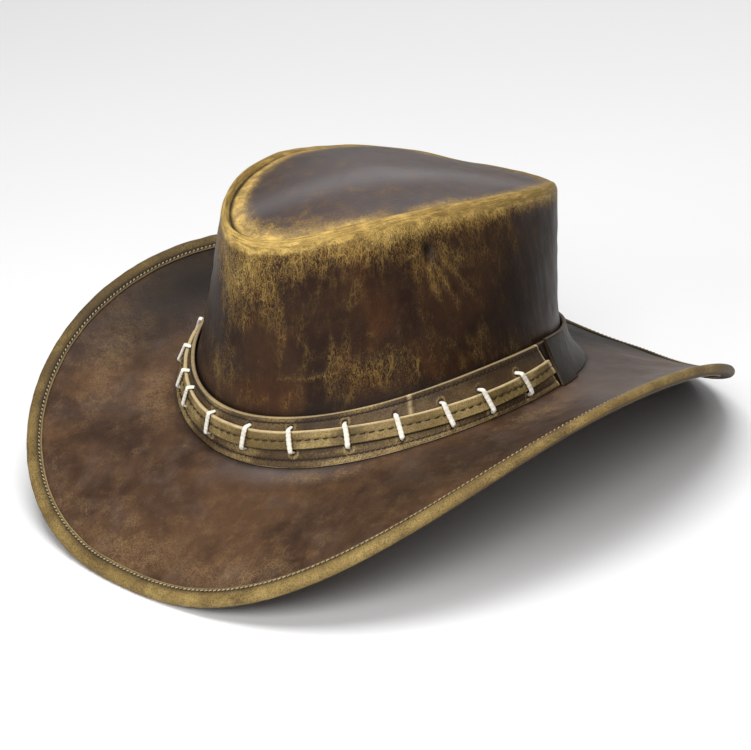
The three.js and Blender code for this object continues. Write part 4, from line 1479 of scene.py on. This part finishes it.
# %% Laces
LACE_SIDES = 14
t = np.linspace(0, 1, 41)
ends = np.minimum(t, 1 - t)
over = smooth_step(ends, 0.01, 0.1)
dive = 1 - smooth_step(ends, 0, 0.06)
dice = np.random.default_rng(5)
bow = dice.uniform(-0.35, 0.35, len(LACES))[:, None] * np.sin(np.pi * t)
place = lace_length[:, None] + LACE_SLANTS[:, None] * (0.5 - t) + bow
up = lace_low[:, None] + LACE_LENGTH * t
rest = BAND_THICKNESS + CLEARANCE + LACE_THICKNESS / 2
out = rest + over * (STRAP_THICKNESS + CLEARANCE) - dive * 1.7 + np.zeros_like(place)
centres, normals = on_face(0.0)(place, up, out)
pinch = 1 - 0.32 * (1 - smooth_step(ends, 0.0, 0.16)) + 0.05 * np.sin(t * 40 + dice.uniform(0, 6, (len(LACES), 1)))
rings = tubes(centres, normals, LACE_WIDTH * pinch, LACE_THICKNESS * pinch, LACE_SIDES)
cord_along = np.broadcast_to((LACE_LENGTH * t)[None, :, None], rings.shape[:3])
cord_round = np.broadcast_to(np.arange(LACE_SIDES) / LACE_SIDES, rings.shape[:3])
twist = cord_along * 0.75 + cord_round
laces = [
    tube_mesh(f"lace_cord_{number + 1:02d}", rings[number : number + 1], {"twist": twist[number].ravel()})
    for number in range(len(LACES))
]

# %% Lace cord


def lace_cord(name):
    """Off-white waxed cord: fine twisted strands from the twist mark, with fuzz and a little grime at the ends."""
    material, tree, shader = finish_material(name)
    place = in_millimetres(tree)
    strand = sums(tree, "SINE", sums(tree, "MULTIPLY", mark(tree, "twist"), 2 * math.pi * 4))
    fuzz = noise(tree, place, 2.6, 4, 0.65)
    grime = noise(tree, place, 0.35, 3, 0.6)
    pale = blend(tree, ease(tree, grime, 0.45, 0.8), rgb(0.76, 0.72, 0.63), rgb(0.52, 0.45, 0.33))
    # Painted shade: the cord is darker between its strands, in the grooves of the twist.
    colour = blend(tree, ease(tree, strand, -1.0, -0.55, 0.35, 0), pale, rgb(0.45, 0.38, 0.27))
    height = sums(tree, "MULTIPLY_ADD", strand, 0.5, fuzz)
    plug_in(tree, shader, colour, ease(tree, fuzz, 0.3, 0.8, 0.55, 0.75), height, 0.5, 0.00012)
    shader.inputs["Sheen Weight"].default_value = 0.35
    shader.inputs["Sheen Roughness"].default_value = 0.5
    return material


cord_white = lace_cord("off_white_waxed_cord")
for number, lace in enumerate(laces):
    lace.data.materials.append(cord_white)
    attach(lace, "root")
    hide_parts(f"lace_{number + 1:02d}")

# %% [markdown]
# ## Floor, light and camera
# Leather shows its wax by what it reflects, so the hat stands in a pale room: a wide soft light
# overhead draws the dome, one at the front left draws the near wall, and the bright walls catch
# the edges that turn away. A long lens from above the table keeps the hat's proportions.

# %% Floor
floor_mesh = bpy.data.meshes.new("studio_floor")
floor_mesh.from_pydata([(-8, -8, 0), (8, -8, 0), (8, 8, 0), (-8, 8, 0)], [], [(0, 1, 2, 3)])
floor = bpy.data.objects.new("studio_floor", floor_mesh)
bpy.context.scene.collection.objects.link(floor)
pale_floor, floor_tree, floor_shader = finish_material("pale_studio_floor")
floor_place = node(floor_tree, "TexCoord").outputs["Object"]
floor_cloud = noise(floor_tree, floor_place, 3.0, 3)
floor_tree.links.new(
    blend(floor_tree, floor_cloud, rgb(0.76, 0.76, 0.76), rgb(0.79, 0.79, 0.79)), floor_shader.inputs["Base Color"]
)
floor_shader.inputs["Roughness"].default_value = 0.75
floor.data.materials.append(pale_floor)

# %% Light
world = bpy.data.worlds.new("pale_room")
bpy.context.scene.world = world
world.use_nodes = True
world.node_tree.nodes["Background"].inputs["Color"].default_value = rgb(1, 1, 1)
world.node_tree.nodes["Background"].inputs["Strength"].default_value = 0.22


def soft_light(name, place, aim, width, depth, power):
    """A rectangular soft light at a place, turned to face a point."""
    lamp = bpy.data.lights.new(name, "AREA")
    lamp.shape, lamp.size, lamp.size_y, lamp.energy = "RECTANGLE", width, depth, power
    holder = bpy.data.objects.new(name, lamp)
    holder.location = place
    holder.rotation_euler = (Vector(aim) - Vector(place)).to_track_quat("-Z", "Y").to_euler()
    bpy.context.scene.collection.objects.link(holder)
    return holder


centre = (0, 0, 0.08)
soft_light("light_key", (1.15, -1.1, 1.3), centre, 1.0, 0.8, 22)
soft_light("light_front_fill", (0.2, -1.7, 0.8), centre, 0.8, 0.7, 11)
soft_light("light_overhead", (0.25, -0.25, 1.7), centre, 1.0, 0.8, 25)
soft_light("light_behind", (-0.85, 1.35, 0.95), centre, 1.3, 0.3, 5.0)

# %% Camera
CAMERA_AZIMUTH, CAMERA_ELEVATION, CAMERA_ROLL = 48.28, 23.37, -2.85
CAMERA_DISTANCE, CAMERA_FOCUS = 1819.4, 3802.2
CAMERA_AIM = np.array([0.3, -12.9, 52.3])
PHOTO_WIDTH = 751

az, el, roll = (math.radians(value) for value in (CAMERA_AZIMUTH, CAMERA_ELEVATION, CAMERA_ROLL))
back = np.array([math.sin(az) * math.cos(el), -math.cos(az) * math.cos(el), math.sin(el)])
right = np.array([math.cos(az), math.sin(az), 0.0])
above = np.cross(back, right)
right, above = (
    math.cos(roll) * right + math.sin(roll) * above,
    math.cos(roll) * above - math.sin(roll) * right,
)
lens = bpy.data.cameras.new("long_lens")
lens.sensor_width, lens.sensor_fit = 36.0, "HORIZONTAL"
lens.lens = CAMERA_FOCUS / PHOTO_WIDTH * lens.sensor_width
lens.clip_end = 50.0
camera = bpy.data.objects.new("camera", lens)
stand = Matrix(np.stack([right, above, back], 1).tolist()).to_4x4()
stand.translation = Vector(((CAMERA_AIM + back * CAMERA_DISTANCE) * MM).tolist())
camera.matrix_world = stand
bpy.context.scene.collection.objects.link(camera)
bpy.context.scene.camera = camera
bpy.context.scene.view_settings.view_transform = "Standard"
print("camera at", [round(value, 3) for value in camera.location], "lens", round(lens.lens, 1), "mm")
